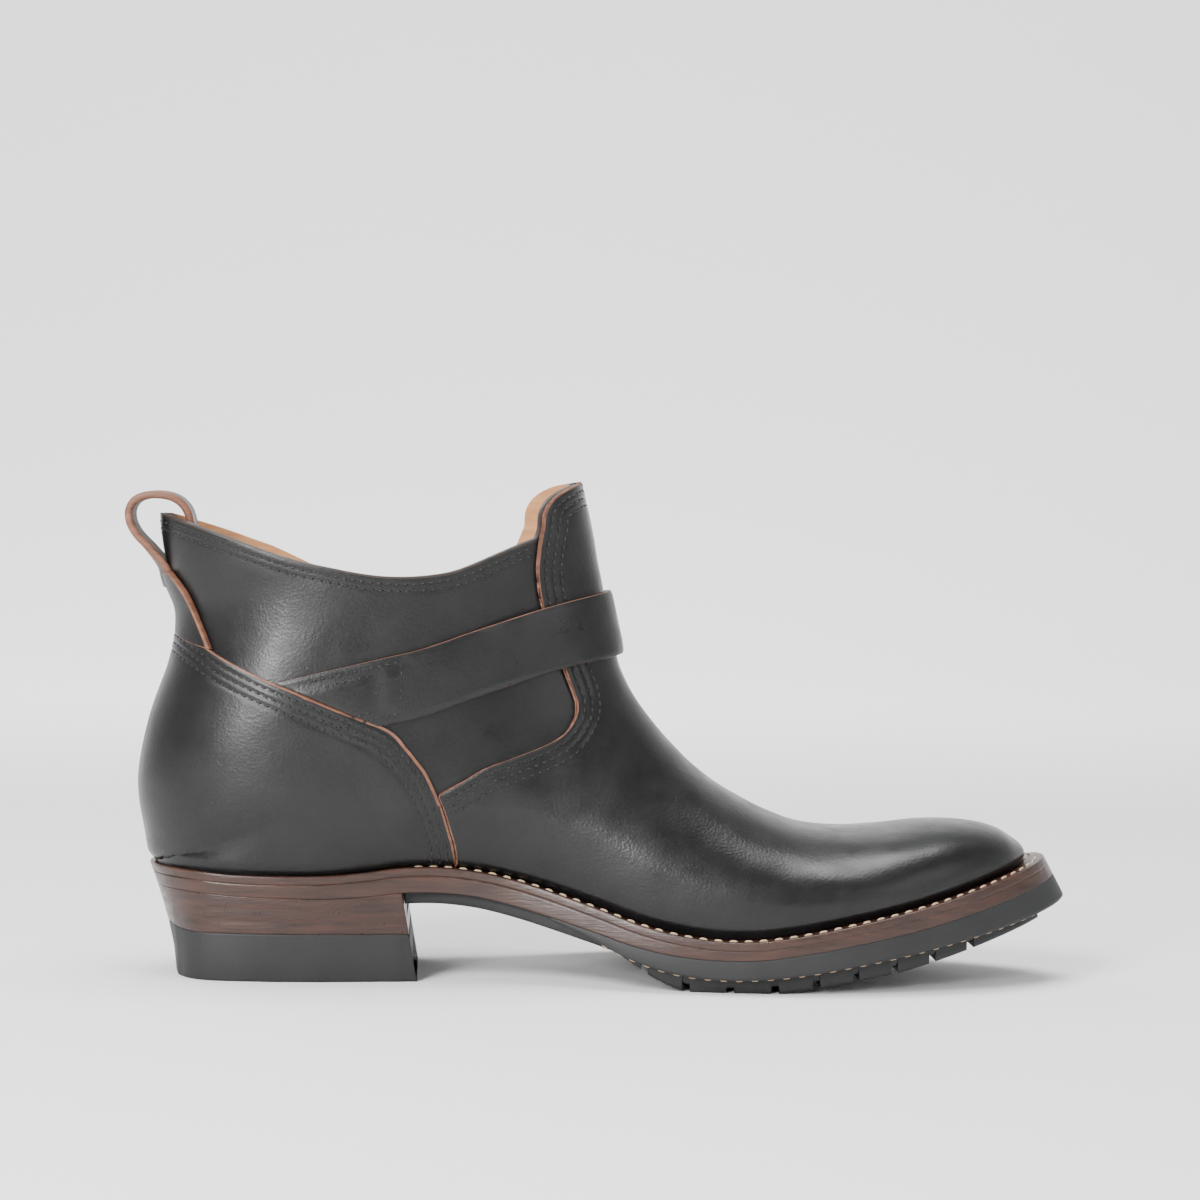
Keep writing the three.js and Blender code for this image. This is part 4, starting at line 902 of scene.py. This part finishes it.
# %% Strap
BUCKLE_WIRE = 1.2
BUCKLE_REACH = 15
BUCKLE_HALF = STRAP_WIDTH / 2 + 3.4
OVER_FLAP = VAMP_LEATHER + 2 * GAP
OVER_BAR = 2 * BUCKLE_WIRE + 3 * GAP
strap_rows = np.array([(0.1, 0.468), (0.136, 0.492), (0.252, 0.558), (0.297, 0.583), (0.355, 0.629),
                       (0.435, 0.69), (0.509, 0.728), (0.54, 0.742)])
strap_line = curve_through(strap_rows[:, 0], strap_rows[:, 1:])


def strap_top(x):
    """Height of the strap's upper edge at X."""
    return z_at(strap_line((np.asarray(x, float) + SEAT_BEHIND_ORIGIN) / LAST_LENGTH)[..., 0])


PITCH = math.atan2(strap_top(x_at(0.4)) - strap_top(x_at(0.25)), x_at(0.4) - x_at(0.25))


def rail(x, across):
    """Height of a rail of the strap at X; across is 0 at the lower edge and 1 at the upper."""
    return strap_top(x) - STRAP_WIDTH / math.cos(PITCH) * (1 - across)


def strap_place(way, across):
    """Section and ring on a rail: bisect the section until the surface there has the rail's height."""
    way, across = np.broadcast_arrays(np.asarray(way, float), np.asarray(across, float))
    ring = np.where(way <= 1, -way, 2 - way)
    low, high = np.full(way.shape, float(ANKLE_SECTION)), np.full(way.shape, float(LAST_SECTION))
    for _ in range(30):
        middle = (low + high) / 2
        place = surface(middle, ring)
        under = place[..., 2] < rail(place[..., 0], across)
        low, high = np.where(under, middle, low), np.where(under, high, middle)
    return low, ring


def share_on_rail(x, across):
    """The share round the section at which a rail passes X."""
    return place_on(x, rail(x, across))[1]


def strap_distance(place):
    """How far the strap's inside stands off: on the quarter, over the flap, then up over the buckle's
    bar."""
    x, side = place[..., 0], place[..., 1]
    near = GAP + (OVER_FLAP - GAP) * smooth(x_at(0.35), x_at(0.415), x)
    far = OVER_FLAP + (OVER_BAR - OVER_FLAP) * (1 - smooth(x_at(0.42), x_at(0.49), x))
    return np.where(side < 0, near, far)


across = np.concatenate([[0, 0.012, 0.035, 0.07], np.linspace(0.11, 0.89, 15), [0.93, 0.965, 0.988, 1]])
rear_x = np.full(len(across), x_at(0.03))
counter_sorted = counter_line[np.argsort(counter_line[:, 0])]
for _ in range(30):
    low_side = rail(rear_x, across) - np.interp(rear_x, counter_sorted[:, 0], counter_sorted[:, 1])
    rear_x = rear_x - 0.5 * low_side
tail_centre = x_at(0.272) + STRAP_WIDTH / 2
tail_radius = 0.56 * STRAP_WIDTH
tail_side = (across - 0.5) * STRAP_WIDTH
tail_reach = np.sqrt(tail_radius ** 2 - tail_side ** 2)
tail_x = tail_centre - tail_reach * math.cos(PITCH) - tail_side * math.sin(PITCH)
first_way = share_on_rail(rear_x + 0.5, across)
last_way = 2 - share_on_rail(tail_x, across)
spread = np.concatenate([np.linspace(0, 0.02, 4), np.linspace(0.02, 0.98, 150)[1:-1],
                         np.linspace(0.98, 1, 4)])
way = first_way + (last_way - first_way) * spread[:, None]
strap_u, strap_ring = strap_place(way, across + 0 * way)


def strap_point(u, ring, distance):
    """The surface moved straight out by a distance."""
    return surface(u, ring) + normal(u, ring) * distance[..., None]


BOX_END = 33
BOX_INNER_END = 25


def strap_puff(place, across):
    """The strap's face: rolled at both edges, and padded between the stitched lines at its rear end."""
    edge = np.minimum(across, 1 - across) * STRAP_WIDTH
    height = -0.32 * np.exp(-(edge / 0.8) ** 2) + 0.12 * np.sin(math.pi * across)
    near = (place[..., 1] < 0) & (place[..., 0] < BOX_END + 4)
    x = place[..., 0]
    middle = smooth(0.14, 0.3, across) * (1 - smooth(0.7, 0.86, across))
    inside = middle * (1 - smooth(20, 24, x))
    second = middle * smooth(26, 28, x) * (1 - smooth(30, 33, x))
    lines = np.exp(-((across - 0.1) / 0.03) ** 2) + np.exp(-((across - 0.9) / 0.03) ** 2)
    rear = 1 - smooth(BOX_END, BOX_END + 2, x)
    posts = np.exp(-((x - BOX_END) / 0.6) ** 2) + np.exp(-((x - BOX_INNER_END) / 0.6) ** 2)
    return height + np.where(near, 0.55 * inside + 0.3 * second - 0.14 * lines * rear - 0.14 * posts, 0)


def ribbon(name, u, ring, low, high, nodes, materials):
    """A strip with thickness: its sheets are the surface moved out by the low and the high distance."""
    outer, inner = strap_point(u, ring, high).reshape(-1, 3), strap_point(u, ring, low).reshape(-1, 3)
    return close_sheets(name, outer, inner, grid_faces(*u.shape), np.zeros(u.size, bool), materials, nodes,
                        0.4)


strap_under = strap_distance(surface(strap_u, strap_ring))
strap_puffed = strap_puff(surface(strap_u, strap_ring), across + 0 * strap_u)
ribbon("strap", strap_u, strap_ring, strap_under, strap_under + STRAP_LEATHER + strap_puffed, ["strap"],
       [strap_leather, raw_edge, loop_inside])

# %% [markdown]
# ## Buckle
# A bent wire frame and a tongue, on the outer side. A short strap from under the counter holds the frame.

# %% Buckle
def off_side(reach, side, distance):
    """A point over the outer side: reach along the strap and side across it, from the buckle's middle."""
    x = x_at(0.365) + reach * math.cos(PITCH) - side * math.sin(PITCH)
    z = rail(x_at(0.365), 0.5) + reach * math.sin(PITCH) + side * math.cos(PITCH)
    u, share = place_on(x, z)
    return surface(u, share) + normal(u, share) * np.asarray(distance)[..., None]


def wire(name, path, radius, closed, nodes, materials, corners=14):
    """A round wire: rings square to the path, from two directions made by cross products."""
    along = (np.roll(path, -1, 0) - np.roll(path, 1, 0)) if closed else np.gradient(path, axis=0)
    along = along / np.linalg.norm(along, axis=1, keepdims=True)
    first = np.array([0, 1, 0]) - along * along[:, 1:2]
    first = first / np.linalg.norm(first, axis=1, keepdims=True)
    second = np.cross(along, first)
    turn = np.linspace(0, 2 * math.pi, corners + 1)[:-1]
    ring = path[:, None] + (first[:, None] * np.cos(turn)[:, None] + second[:, None] * np.sin(turn)[:, None]
                            ) * np.asarray(radius)[..., None, None]
    points = ring.reshape(-1, 3)
    faces = grid_faces(len(path), corners, True)
    if closed:
        last = (len(path) - 1) * corners
        i = np.arange(corners)
        j = (i + 1) % corners
        faces = np.vstack([faces, np.stack([last + i, last + j, j, i], -1)])
    return make(name, points, faces, nodes, materials)


turn = np.linspace(0, 2 * math.pi, 97)[:-1]
rounded = [np.sign(np.round(value, 9)) * np.abs(value) ** 0.28 for value in (np.cos(turn), np.sin(turn))]
reach = BUCKLE_REACH / 2 * rounded[0]
bar_low = GAP + BUCKLE_WIRE
bar_high = OVER_BAR + STRAP_LEATHER + GAP + BUCKLE_WIRE
rise = bar_low + (bar_high - bar_low) * smooth(-BUCKLE_REACH / 2, BUCKLE_REACH / 2, reach)
frame_path = even(off_side(reach, BUCKLE_HALF * rounded[1], rise)[np.r_[0:96, 0]], 97)[:-1]
wire("buckle_frame", frame_path, np.full(96, BUCKLE_WIRE), True, ["buckle_frame"], [steel])
prong = curve_through([0, 1, 2, 3, 4], [
    [-0.46, OVER_BAR + STRAP_LEATHER + 1.2], [-0.2, OVER_BAR + STRAP_LEATHER + 1.3],
    [0.1, bar_high + 0.9], [0.5, bar_high + BUCKLE_WIRE + 1.2], [0.66, bar_high + BUCKLE_WIRE + 1.2]])(
        np.linspace(0, 4, 40))
prong_radius = 0.9 * np.sqrt(np.clip(1 - np.abs(np.linspace(-1, 1, 40)) ** 12, 0.001, 1))
wire("buckle_prong", off_side(BUCKLE_REACH * prong[:, 0], 0 * prong[:, 0], prong[:, 1]), prong_radius, False,
     ["buckle_prong"], [steel])
holder_end = x_at(0.365) - BUCKLE_REACH / 2 - BUCKLE_WIRE - GAP - 0.8
holder_across = np.linspace(0.16, 0.84, 15)
holder_rear = np.interp(holder_across, across, rear_x) + 0.5
holder_front = holder_end - (holder_across - 0.5) * STRAP_WIDTH * math.tan(PITCH)
holder_way = np.linspace(2 - share_on_rail(holder_rear, holder_across),
                         2 - share_on_rail(holder_front, holder_across),
                         30)
holder_u, holder_ring = strap_place(holder_way, holder_across + 0 * holder_way)
ribbon("buckle_strap", holder_u, holder_ring, GAP + 0 * holder_u, OVER_BAR - GAP + 0 * holder_u,
       ["buckle_strap"],
       [strap_leather, raw_edge, loop_inside])

# %% [markdown]
# ## Pull loop and back strap
# A strap of folded leather is sewn over the back seam, stands out as a loop and ends inside the collar. Its
# path is drawn in shares of its height from the collar's rear corner; hug bends it round the heel's back.

# %% Pull loop
LOOP_EDGE = 1.0
loop_rows = np.array([
    (0.052, -0.6, 1), (0.03, -0.53, 1), (0.0, -0.43, 0.8), (-0.1, -0.29, 0.4), (-0.195, -0.175, 0.1),
    (-0.248, -0.065, 0), (-0.25, 0.035, 0), (-0.195, 0.115, 0), (-0.085, 0.152, 0), (0.05, 0.148, 0),
    (0.155, 0.105, 0), (0.22, 0.02, 0.1), (0.24, -0.1, 0.3), (0.238, -0.25, 0.7), (0.235, -0.4, 1),
    (0.24, -0.525, 1), (0.275, -0.675, 1), (0.31, -0.8, 1)])
loop = curve_through(np.arange(len(loop_rows)), loop_rows)(np.linspace(0, len(loop_rows) - 1, 130))
loop_x, loop_z = x_at(-0.0035) + loop[:, 0] * LOOP_SPAN, z_at(0.914) + loop[:, 1] * LOOP_SPAN
slope_x, slope_z = np.gradient(loop_x), np.gradient(loop_z)
slope_length = np.hypot(slope_x, slope_z)
square_x, square_z = slope_z / slope_length, -slope_x / slope_length
corner = np.linspace(0, math.pi, 9)
loop_half = LOOP_WIDTH / 2 - LOOP_EDGE
profile_y = np.linspace(1, -1, 12) * loop_half
upper_side = np.stack([profile_y, 0 * profile_y + 1], -1)
round_left = np.stack([-loop_half - LOOP_EDGE * np.sin(corner[1:-1]), np.cos(corner[1:-1])], -1)
lower_side = np.stack([-profile_y, 0 * profile_y - 1], -1)
round_right = np.stack([loop_half + LOOP_EDGE * np.sin(corner[1:-1]), -np.cos(corner[1:-1])], -1)
profile = np.vstack([upper_side, round_left, lower_side, round_right])
half = LOOP_LEATHER / 2 * profile[:, 1]
rings = np.stack([
    loop_x[:, None] + square_x[:, None] * half + np.clip(loop[:, 2:3], 0, 1) * profile[:, 0] ** 2 / 30,
    profile[:, 0] + 0 * loop_x[:, None], loop_z[:, None] + square_z[:, None] * half], -1)
loop_faces = grid_faces(len(loop), len(profile), True)
strip = np.arange(len(profile))
kind = np.where(strip < 11, 2, np.where(strip < 19, 1, np.where(strip < 30, 0, 1)))
loop_index = np.tile(kind, len(loop) - 1)
if np.median(np.sign(square_x[:20])) <= 0:
    loop_index = np.array([2, 1, 0])[loop_index]
make("pull_loop", rings.reshape(-1, 3), loop_faces, ["pull_loop"], [loop_leather, raw_edge, loop_inside],
     loop_index)

back_edge = polyline([(0.014, 0.768), (0.03, 0.725), (0.039, 0.69), (0.049, 0.642), (0.058, 0.598),
                      (0.0635, 0.57)], 60)
edge_u, edge_share = place_on(back_edge[:, 0], back_edge[:, 1])
low_u = np.linspace(place_on(x_at(0.0125), z_at(0.77))[0], place_on(x_at(0.0222), z_at(0.624))[0],
                    len(edge_u))
fade = np.linspace(0, 1, 20)[:, None]
patches = [(low_u + (edge_u - low_u) * fade, ringed(edge_share * fade, side)) for side in SIDES]
slab("back_strap", patches, level(GAP + LOOP_LEATHER - 0.4), level(GAP),
     [loop_leather, raw_edge, loop_inside],
     [], 0.3)

# %% [markdown]
# ## Sole
# The welt and midsole are cut to the last's outline with a margin, burnished as one band. The stacked heel
# has thin lifts of leather and a rubber top piece, and the rubber outsole has low bars set in from its rim.

# %% Sole layers
def layer(name, top, bottom, inset, profile, start, end, nodes, materials, stations, cut=None):
    """A sole layer: the edge's profile rows (inset, share of the depth) follow the outline on both sides."""
    angle = np.linspace(float(angle_at(start)), float(angle_at(end)), stations)[:, None]
    profile = np.asarray(profile, float)
    x0 = x_at((1 - np.cos(angle)) / 2)
    low = bottom(x0)
    depth = top(x0) + (low - top(x0)) * profile[:, 1]
    pieces = [sole_point(angle, np.full_like(depth, side), depth, inset + profile[:, 0]) for side in SIDES]
    ring = np.concatenate([pieces[0], pieces[1][:, ::-1]], axis=1)
    if cut is not None:
        ring = cut(ring)
    count = ring.shape[1]
    points = ring.reshape(-1, 3)
    faces = grid_faces(len(ring), count, True)
    for row in (0, len(ring) - 1):
        if np.abs(ring[row, :, 1]).max() > 0.5:
            i = np.arange(count // 2 - 1)
            strip = row * count + np.stack([i, i + 1, count - 2 - i, count - 1 - i], -1)
            faces = np.vstack([faces, strip if row else strip[:, ::-1]])
    first, faces = weld(points, faces, 3)
    return make(name, points[first], faces, nodes, materials)


ROUND = [(0.75, 0), (0.3, 0.02), (0.08, 0.1), (0, 0.22), (0, 0.5), (0, 0.8), (0.02, 1)]
ROUND_LOW = [(0.0, 0), (0, 0.15), (0, 0.5), (0, 0.9), (0.04, 0.97), (0.12, 1)]
layer("welt", lambda x: 0 * x, lambda x: WELT + 0.1 + 0 * x, 0, ROUND, 0, 1, ["welt"], [welt_leather],
      260)
layer("midsole", lambda x: WELT + 0.12 + 0 * x, midsole_bottom, 0, ROUND_LOW, 0, 1, ["midsole"],
      [welt_leather],
      260)


def lift_line(x):
    """Height of the top of the heel's rubber: level, and rising a little at the back."""
    return LIFT * (1 + np.interp(x, x_at([-0.06, 0.012, 0.03, 0.06, 0.4]), [0.16, 0.11, 0.04, 0.01, 0]))


def depth_at_height(x, z):
    """The depth below the welt's top at which a height is reached."""
    return (sole_top(x) - z) / np.cos(sole_slope(x))


def breast_face(ring):
    """X of the heel's slanted front face at the height of each point."""
    return BREAST_TOP + BREAST_SLOPE * (1 - ring[..., 2] / HEEL_HEIGHT)


def on_floor(ring):
    """What lies below the floor is raised onto it."""
    ring[..., 2] = np.maximum(ring[..., 2], 0)
    return ring


def breast(ring):
    """What lies past the heel's front face is set back onto it."""
    ring[..., 0] = np.minimum(ring[..., 0], breast_face(ring))
    return on_floor(ring)


def ahead_of_breast(ring):
    """What lies behind the heel's front face is brought forward, to a gap before it."""
    ring[..., 0] = np.maximum(ring[..., 0], breast_face(ring) + GAP)
    return ring


LIFTS = [(0, 0), (0.1, 0.02), (0, 0.06), (0, 0.3), (0.07, 0.33), (0, 0.36), (0, 0.63), (0.07, 0.66),
         (0, 0.69),
         (0, 0.95), (0.06, 1)]
layer("heel_stack", lambda x: midsole_bottom(x) + 0.05, lambda x: depth_at_height(x, lift_line(x) + 0.05), 0,
      LIFTS, 0,
      0.31, ["heel_stack"], [heel_leather], 140, cut=breast)
layer("heel_lift", lambda x: depth_at_height(x, lift_line(x)), lambda x: depth_at_height(x, -0.2), 0,
      [(0.05, 0), (0.1, 0.04), (0, 0.1), (0, 0.5), (0, 0.94), (0.2, 0.98), (0.6, 1)], 0, 0.312,
      ["heel_lift"],
      [sole_rubber], 140, cut=breast)


layer("outsole", lambda x: midsole_bottom(x) + 0.05, outsole_bottom, 0,
      [(0.1, 0), (0, 0.1), (0, 0.5), (0, 0.85), (0.15, 0.95), (0.7, 1)], 0.463, 1, ["outsole"],
      [sole_rubber],
      200, cut=on_floor)


layer("waist_strip", lambda x: midsole_bottom(x) + 0.05, lambda x: midsole_bottom(x) + GAP + WAIST_RUBBER,
      WAIST_INSET,
      [(0.1, 0), (0, 0.1), (0, 0.6), (0, 0.85), (0.3, 1)], 0.282, 0.56, [], [sole_rubber], 90,
      cut=ahead_of_breast)

LUG = 10
LUG_GAP = 2.2
LUG_GROOVE = 2.6
LUG_GROOVE_SIDE = 2.3
TREAD_START = 0.52
LUG_MIDDLE = 8
groove_starts = x_at(0.565) + np.arange(9) * (LUG + LUG_GAP)


def tread_layer():
    """The tread: a layer inset from the rim, whose underside is raised in nine grooves either side of the
    middle."""
    borders = (groove_starts[:, None] + np.array([-0.02, 0.02, LUG_GAP - 0.02, LUG_GAP + 0.02])).ravel()
    x0 = np.unique(np.concatenate([np.linspace(x_at(TREAD_START), x_at(0.985), 170), borders]))[:, None]
    share = (x0 + SEAT_BEHIND_ORIGIN) / LAST_LENGTH
    angle = angle_at(share)
    rise = smooth(x_at(TREAD_START), x_at(0.62), x0)
    low = outsole_bottom(x0) + TREAD * rise * (1 - smooth(0.8, 1.02, share) * 0.6)
    rows = np.array([(0.0, 0), (0, 0.4), (0, 0.9), (0.3, 1), (0.5, 1), (0.5, 1)])
    depth = midsole_bottom(x0) + GAP + (low - midsole_bottom(x0) - GAP) * rows[:, 1]
    within = ((x0 > groove_starts) & (x0 < groove_starts + LUG_GAP)).any(1)[:, None]
    rings = []
    for side in SIDES:
        place = sole_point(angle, np.full_like(depth, side), depth, TREAD_INSET + rows[:, 0])
        place[:, 5, 1] = side * np.minimum(LUG_MIDDLE, 0.5 * np.abs(place[:, 4, 1]))
        place[:, 2:3, 2] += np.where(within, LUG_GROOVE_SIDE, 0)
        place[:, 3:6, 2] += np.where(within, LUG_GROOVE, 0)
        rings.append(place)
    ring = on_floor(np.concatenate([rings[0], rings[1][:, ::-1]], axis=1))
    count = ring.shape[1]
    faces = grid_faces(len(ring), count, True)
    i = np.arange(count // 2 - 1)
    strip = np.stack([i, i + 1, count - 2 - i, count - 1 - i], -1)
    faces = np.vstack([faces, strip[:, ::-1], strip + (len(ring) - 1) * count])
    return make("tread", ring.reshape(-1, 3), faces, [], [sole_rubber])


tread_layer()
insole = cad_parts["insole"]
insole.data.materials.clear()
insole.data.materials.append(insole_leather)

# %% [markdown]
# ## Stitches
# Each stitch is a short rounded length of waxed thread whose ends dip into the leather. Rows are set back
# from the cut edges by the width a sewing guide would hold, at an even pitch.

# %% Stitches
STITCH_PITCH = 2.85
STITCH_LENGTH = 1.75
THREAD_RADIUS = 0.3
WELT_THREAD_RADIUS = 0.42
THREAD_DIP = 0.12


def stitch_row(line, out, pitch, length, radius, lift=0.25):
    """Stitches along a line of points: capsules whose middle stands up by a parabola of the place along
    them."""
    steps = np.concatenate([[0], np.cumsum(np.linalg.norm(np.diff(line, axis=0), axis=1))])
    centres = np.arange(pitch / 2, steps[-1] - pitch / 3, pitch)

    def pick(values, at):
        """Values of the line's points at distances along it, by straight interpolation."""
        return np.stack([np.interp(at, steps, values[:, k]) for k in range(3)], -1)

    middle, up = pick(line, centres), pick(out, centres)
    along = pick(line, centres + 0.6) - pick(line, centres - 0.6)
    along = along / np.linalg.norm(along, axis=1, keepdims=True)
    up = up - along * (up * along).sum(1, keepdims=True)
    up = up / np.linalg.norm(up, axis=1, keepdims=True)
    wide = np.cross(along, up)
    share = np.array([-1, -0.9, -0.5, 0, 0.5, 0.9, 1])
    fat = radius * np.sqrt(np.clip(1 - np.abs(share) ** 6, 0.05, 1))
    rise = lift * radius - 0.9 * radius * share ** 4
    turn = np.linspace(0, 2 * math.pi, 7)[:-1]
    return (middle[:, None, None] + along[:, None, None] * (share * length / 2)[:, None, None]
            + up[:, None, None] * (rise[:, None] + fat[:, None] * np.cos(turn))[..., None]
            + wide[:, None, None] * (fat[:, None] * np.sin(turn))[..., None])


def thread_piece(name, rows, material):
    """All stitches of a thread in one mesh."""
    groups = np.concatenate(rows)
    count, length, corners = groups.shape[:3]
    one = grid_faces(length, corners, True)
    caps = np.array([[0, 1, 2, 3], [0, 3, 4, 5]])
    far = (length - 1) * corners
    one = np.vstack([one, caps[:, ::-1], caps + far])
    faces = (one[None] + (np.arange(count) * length * corners)[:, None, None]).reshape(-1, 4)
    return make(name, groups.reshape(-1, 3), faces, [], [material])


def sewn(line, side, distance, height):
    """A row of stitches on a panel: the side-view line moved by a distance, laid on the panel's outside."""
    moved = even(shifted(line, distance), 240)
    u, share = place_on(moved[:, 0], moved[:, 1])
    kept = (share > 0.005) & (share < 0.998)
    u, share = u[kept], share[kept]
    ring = side * share
    out = off(u, ring, height(u, ring, surface(u, ring)))
    return stitch_row(out, normal(u, ring), STITCH_PITCH, STITCH_LENGTH, THREAD_RADIUS)


def on_vamp(u, ring, place):
    """The vamp's worn outside, less the depth that the thread is pulled in."""
    return GAP + VAMP_LEATHER - THREAD_DIP + worn(place)


black_rows = []
for side in SIDES:
    collar = collar_lines[side]
    flap_start = flap_line(side)[0]
    quarter = collar[collar[:, 0] < flap_start[0] - 1.5]
    for row in COLLAR_ROWS:
        black_rows.append(sewn(quarter, side, -row, level(-0.1)))
    for row in COUNTER_STITCH_ROWS:
        black_rows.append(sewn(counter_line, side, -row, level(GAP + COUNTER_LEATHER - THREAD_DIP)))
    lower, flap = vamp_edges[side][1], flap_line(side)
    whole = even(np.vstack([lower, flap[flap[:, 1] > lower[-1, 1] + 4]]), 240)
    for row in VAMP_STITCH_ROWS:
        black_rows.append(sewn(whole[whole[:, 0] < x_at(0.5)], side, -row, on_vamp))


def strap_row(xs, acrosses):
    """A row on the inner side of the strap, through places along it and across it."""
    xs, acrosses = np.linspace(*xs, 120), np.linspace(*acrosses, 120)
    u, share = place_on(xs, rail(xs, acrosses))
    place = surface(u, -share)
    height = strap_distance(place) + STRAP_LEATHER + strap_puff(place, acrosses)
    return stitch_row(strap_point(u, -share, height), normal(u, -share), 2.7, 1.7, THREAD_RADIUS)


# Rows of the strap's box: X at both ends, and how far across at both ends.
BOX_ROWS = [([4, BOX_END], [0.9, 0.9]), ([12, BOX_END], [0.1, 0.1]), ([BOX_END, BOX_END], [0.9, 0.1]),
            ([BOX_INNER_END, BOX_INNER_END], [0.8, 0.2]), ([8, BOX_INNER_END], [0.78, 0.78]),
            ([16, BOX_INNER_END], [0.22, 0.22])]
for xs, acrosses in BOX_ROWS:
    black_rows.append(strap_row(xs, acrosses))
thread_piece("black_stitches", black_rows, black_thread)


def round_sole(depth, inset, start, end, up):
    """A line round the sole's edge on both sides, from one share to another."""
    rows = []
    for side in SIDES:
        angle = np.linspace(float(angle_at(start)), float(angle_at(end)), 300)
        place = sole_point(angle, np.full(300, side), depth(x_at((1 - np.cos(angle)) / 2)), inset)
        rows.append((place, np.zeros_like(place) + np.array(up, float)))
    return rows


def sole_seam(name, lines, pitch, length):
    """The cream seam round the sole's edge."""
    rows = [stitch_row(line, out, pitch, length, WELT_THREAD_RADIUS, 0.3) for line, out in lines]
    thread_piece(name, rows, cream_thread)


sole_seam("welt_stitches", round_sole(lambda x: 0 * x, 2.6, 0.29, 1, (0, 0, 1)), 4.9, 2.9)
sole_seam("sole_stitches", round_sole(outsole_bottom, 2.4, 0.52, 0.98, (0, 0, -1)), 5.1, 3.0)

# %% [markdown]
# ## The studio
# A pale seamless floor, of one plain grey-white, that curves up all round. Soft lamps stand high and low on
# the left, on the right, overhead and behind the boot, and one lights the backdrop. The camera stands level
# with the ankle and a little above, as in the photo.

# %% Studio
# Metres.
FLAT_RADIUS = 1.6
BEND_RADIUS = 1.9
BACKDROP_HEIGHT = 3.2


def stage_floor():
    """A round backdrop: flat, then a quarter circle, then straight up."""
    turn = np.linspace(0, math.pi / 2, 20)
    radius = np.concatenate([[0.001, 0.8], FLAT_RADIUS + BEND_RADIUS * np.sin(turn),
                             [FLAT_RADIUS + BEND_RADIUS]])
    height = np.concatenate([[0, 0], BEND_RADIUS * (1 - np.cos(turn)), [BACKDROP_HEIGHT]])
    angle = np.linspace(0, 2 * math.pi, 73)[:-1]
    points = np.stack([radius[:, None] * np.cos(angle) + 0.1, radius[:, None] * np.sin(angle),
                       height[:, None] + 0 * angle], -1).reshape(-1, 3)
    mesh = bpy.data.meshes.new("floor")
    mesh.from_pydata(points.tolist(), [], grid_faces(len(radius), len(angle), True).tolist())
    mesh.polygons.foreach_set("use_smooth", np.ones(len(mesh.polygons), bool))
    floor = bpy.data.objects.new("floor", mesh)
    bpy.context.scene.collection.objects.link(floor)


def lamp(name, place, target, size, power):
    """A square soft lamp of a size in metres, turned to a target."""
    data = bpy.data.lights.new(name, "AREA")
    data.size = size
    data.energy = power
    made = bpy.data.objects.new(name, data)
    bpy.context.scene.collection.objects.link(made)
    made.location = place
    made.rotation_euler = (Vector(place) - Vector(target)).to_track_quat("Z", "Y").to_euler()


stage_floor()
lamp("key", (-0.75, -1.15, 1.25), (0.08, 0, 0.08), 0.6, 40)
lamp("fill", (1.4, -1.3, 0.7), (0.1, 0, 0.06), 0.9, 5)
lamp("top", (0.15, 0.15, 1.9), (0.1, 0, 0), 1.1, 46)
lamp("rim", (-0.9, 1.3, 1.1), (0.05, 0, 0.1), 0.8, 8)
lamp("side", (-0.58, -1.25, 0.45), (0.02, 0, 0.1), 0.35, 20)
lamp("backdrop", (0.1, 1.2, 1.6), (0.1, 3.3, 0.7), 1.6, 70)
world = bpy.data.worlds.new("studio air")
world.use_nodes = True
world.node_tree.nodes["Background"].inputs["Color"].default_value = (0.8, 0.82, 0.85, 1)
world.node_tree.nodes["Background"].inputs["Strength"].default_value = 0.42
bpy.context.scene.world = world

# The camera: its distance and its angles to the boot, in degrees; it is rolled by one degree.
CAMERA_TARGET = np.array([99, 0, 125.3])
CAMERA_DISTANCE = 1150
CAMERA_YAW = 2.8
CAMERA_DOWN = 2.3
CAMERA_ROLL = 1.0
yaw, down, roll = (math.radians(value) for value in (CAMERA_YAW, CAMERA_DOWN, CAMERA_ROLL))
ahead = np.array([math.sin(yaw) * math.cos(down), math.cos(yaw) * math.cos(down), -math.sin(down)])
right = np.array([math.cos(yaw), -math.sin(yaw), 0])
upward = np.cross(right, ahead)
right, upward = (right * math.cos(roll) + upward * math.sin(roll),
                 upward * math.cos(roll) - right * math.sin(roll))
camera_data = bpy.data.cameras.new("camera")
camera_data.lens = 103
camera_data.sensor_width = 36
camera = bpy.data.objects.new("camera", camera_data)
bpy.context.scene.collection.objects.link(camera)
turned = Matrix([[*row] for row in np.stack([right, upward, -ahead], 1).tolist()]).to_4x4()
camera_place = (CAMERA_TARGET - ahead * CAMERA_DISTANCE) * MM
camera.matrix_world = Matrix.Translation(Vector(camera_place.tolist())) @ turned
bpy.context.scene.camera = camera
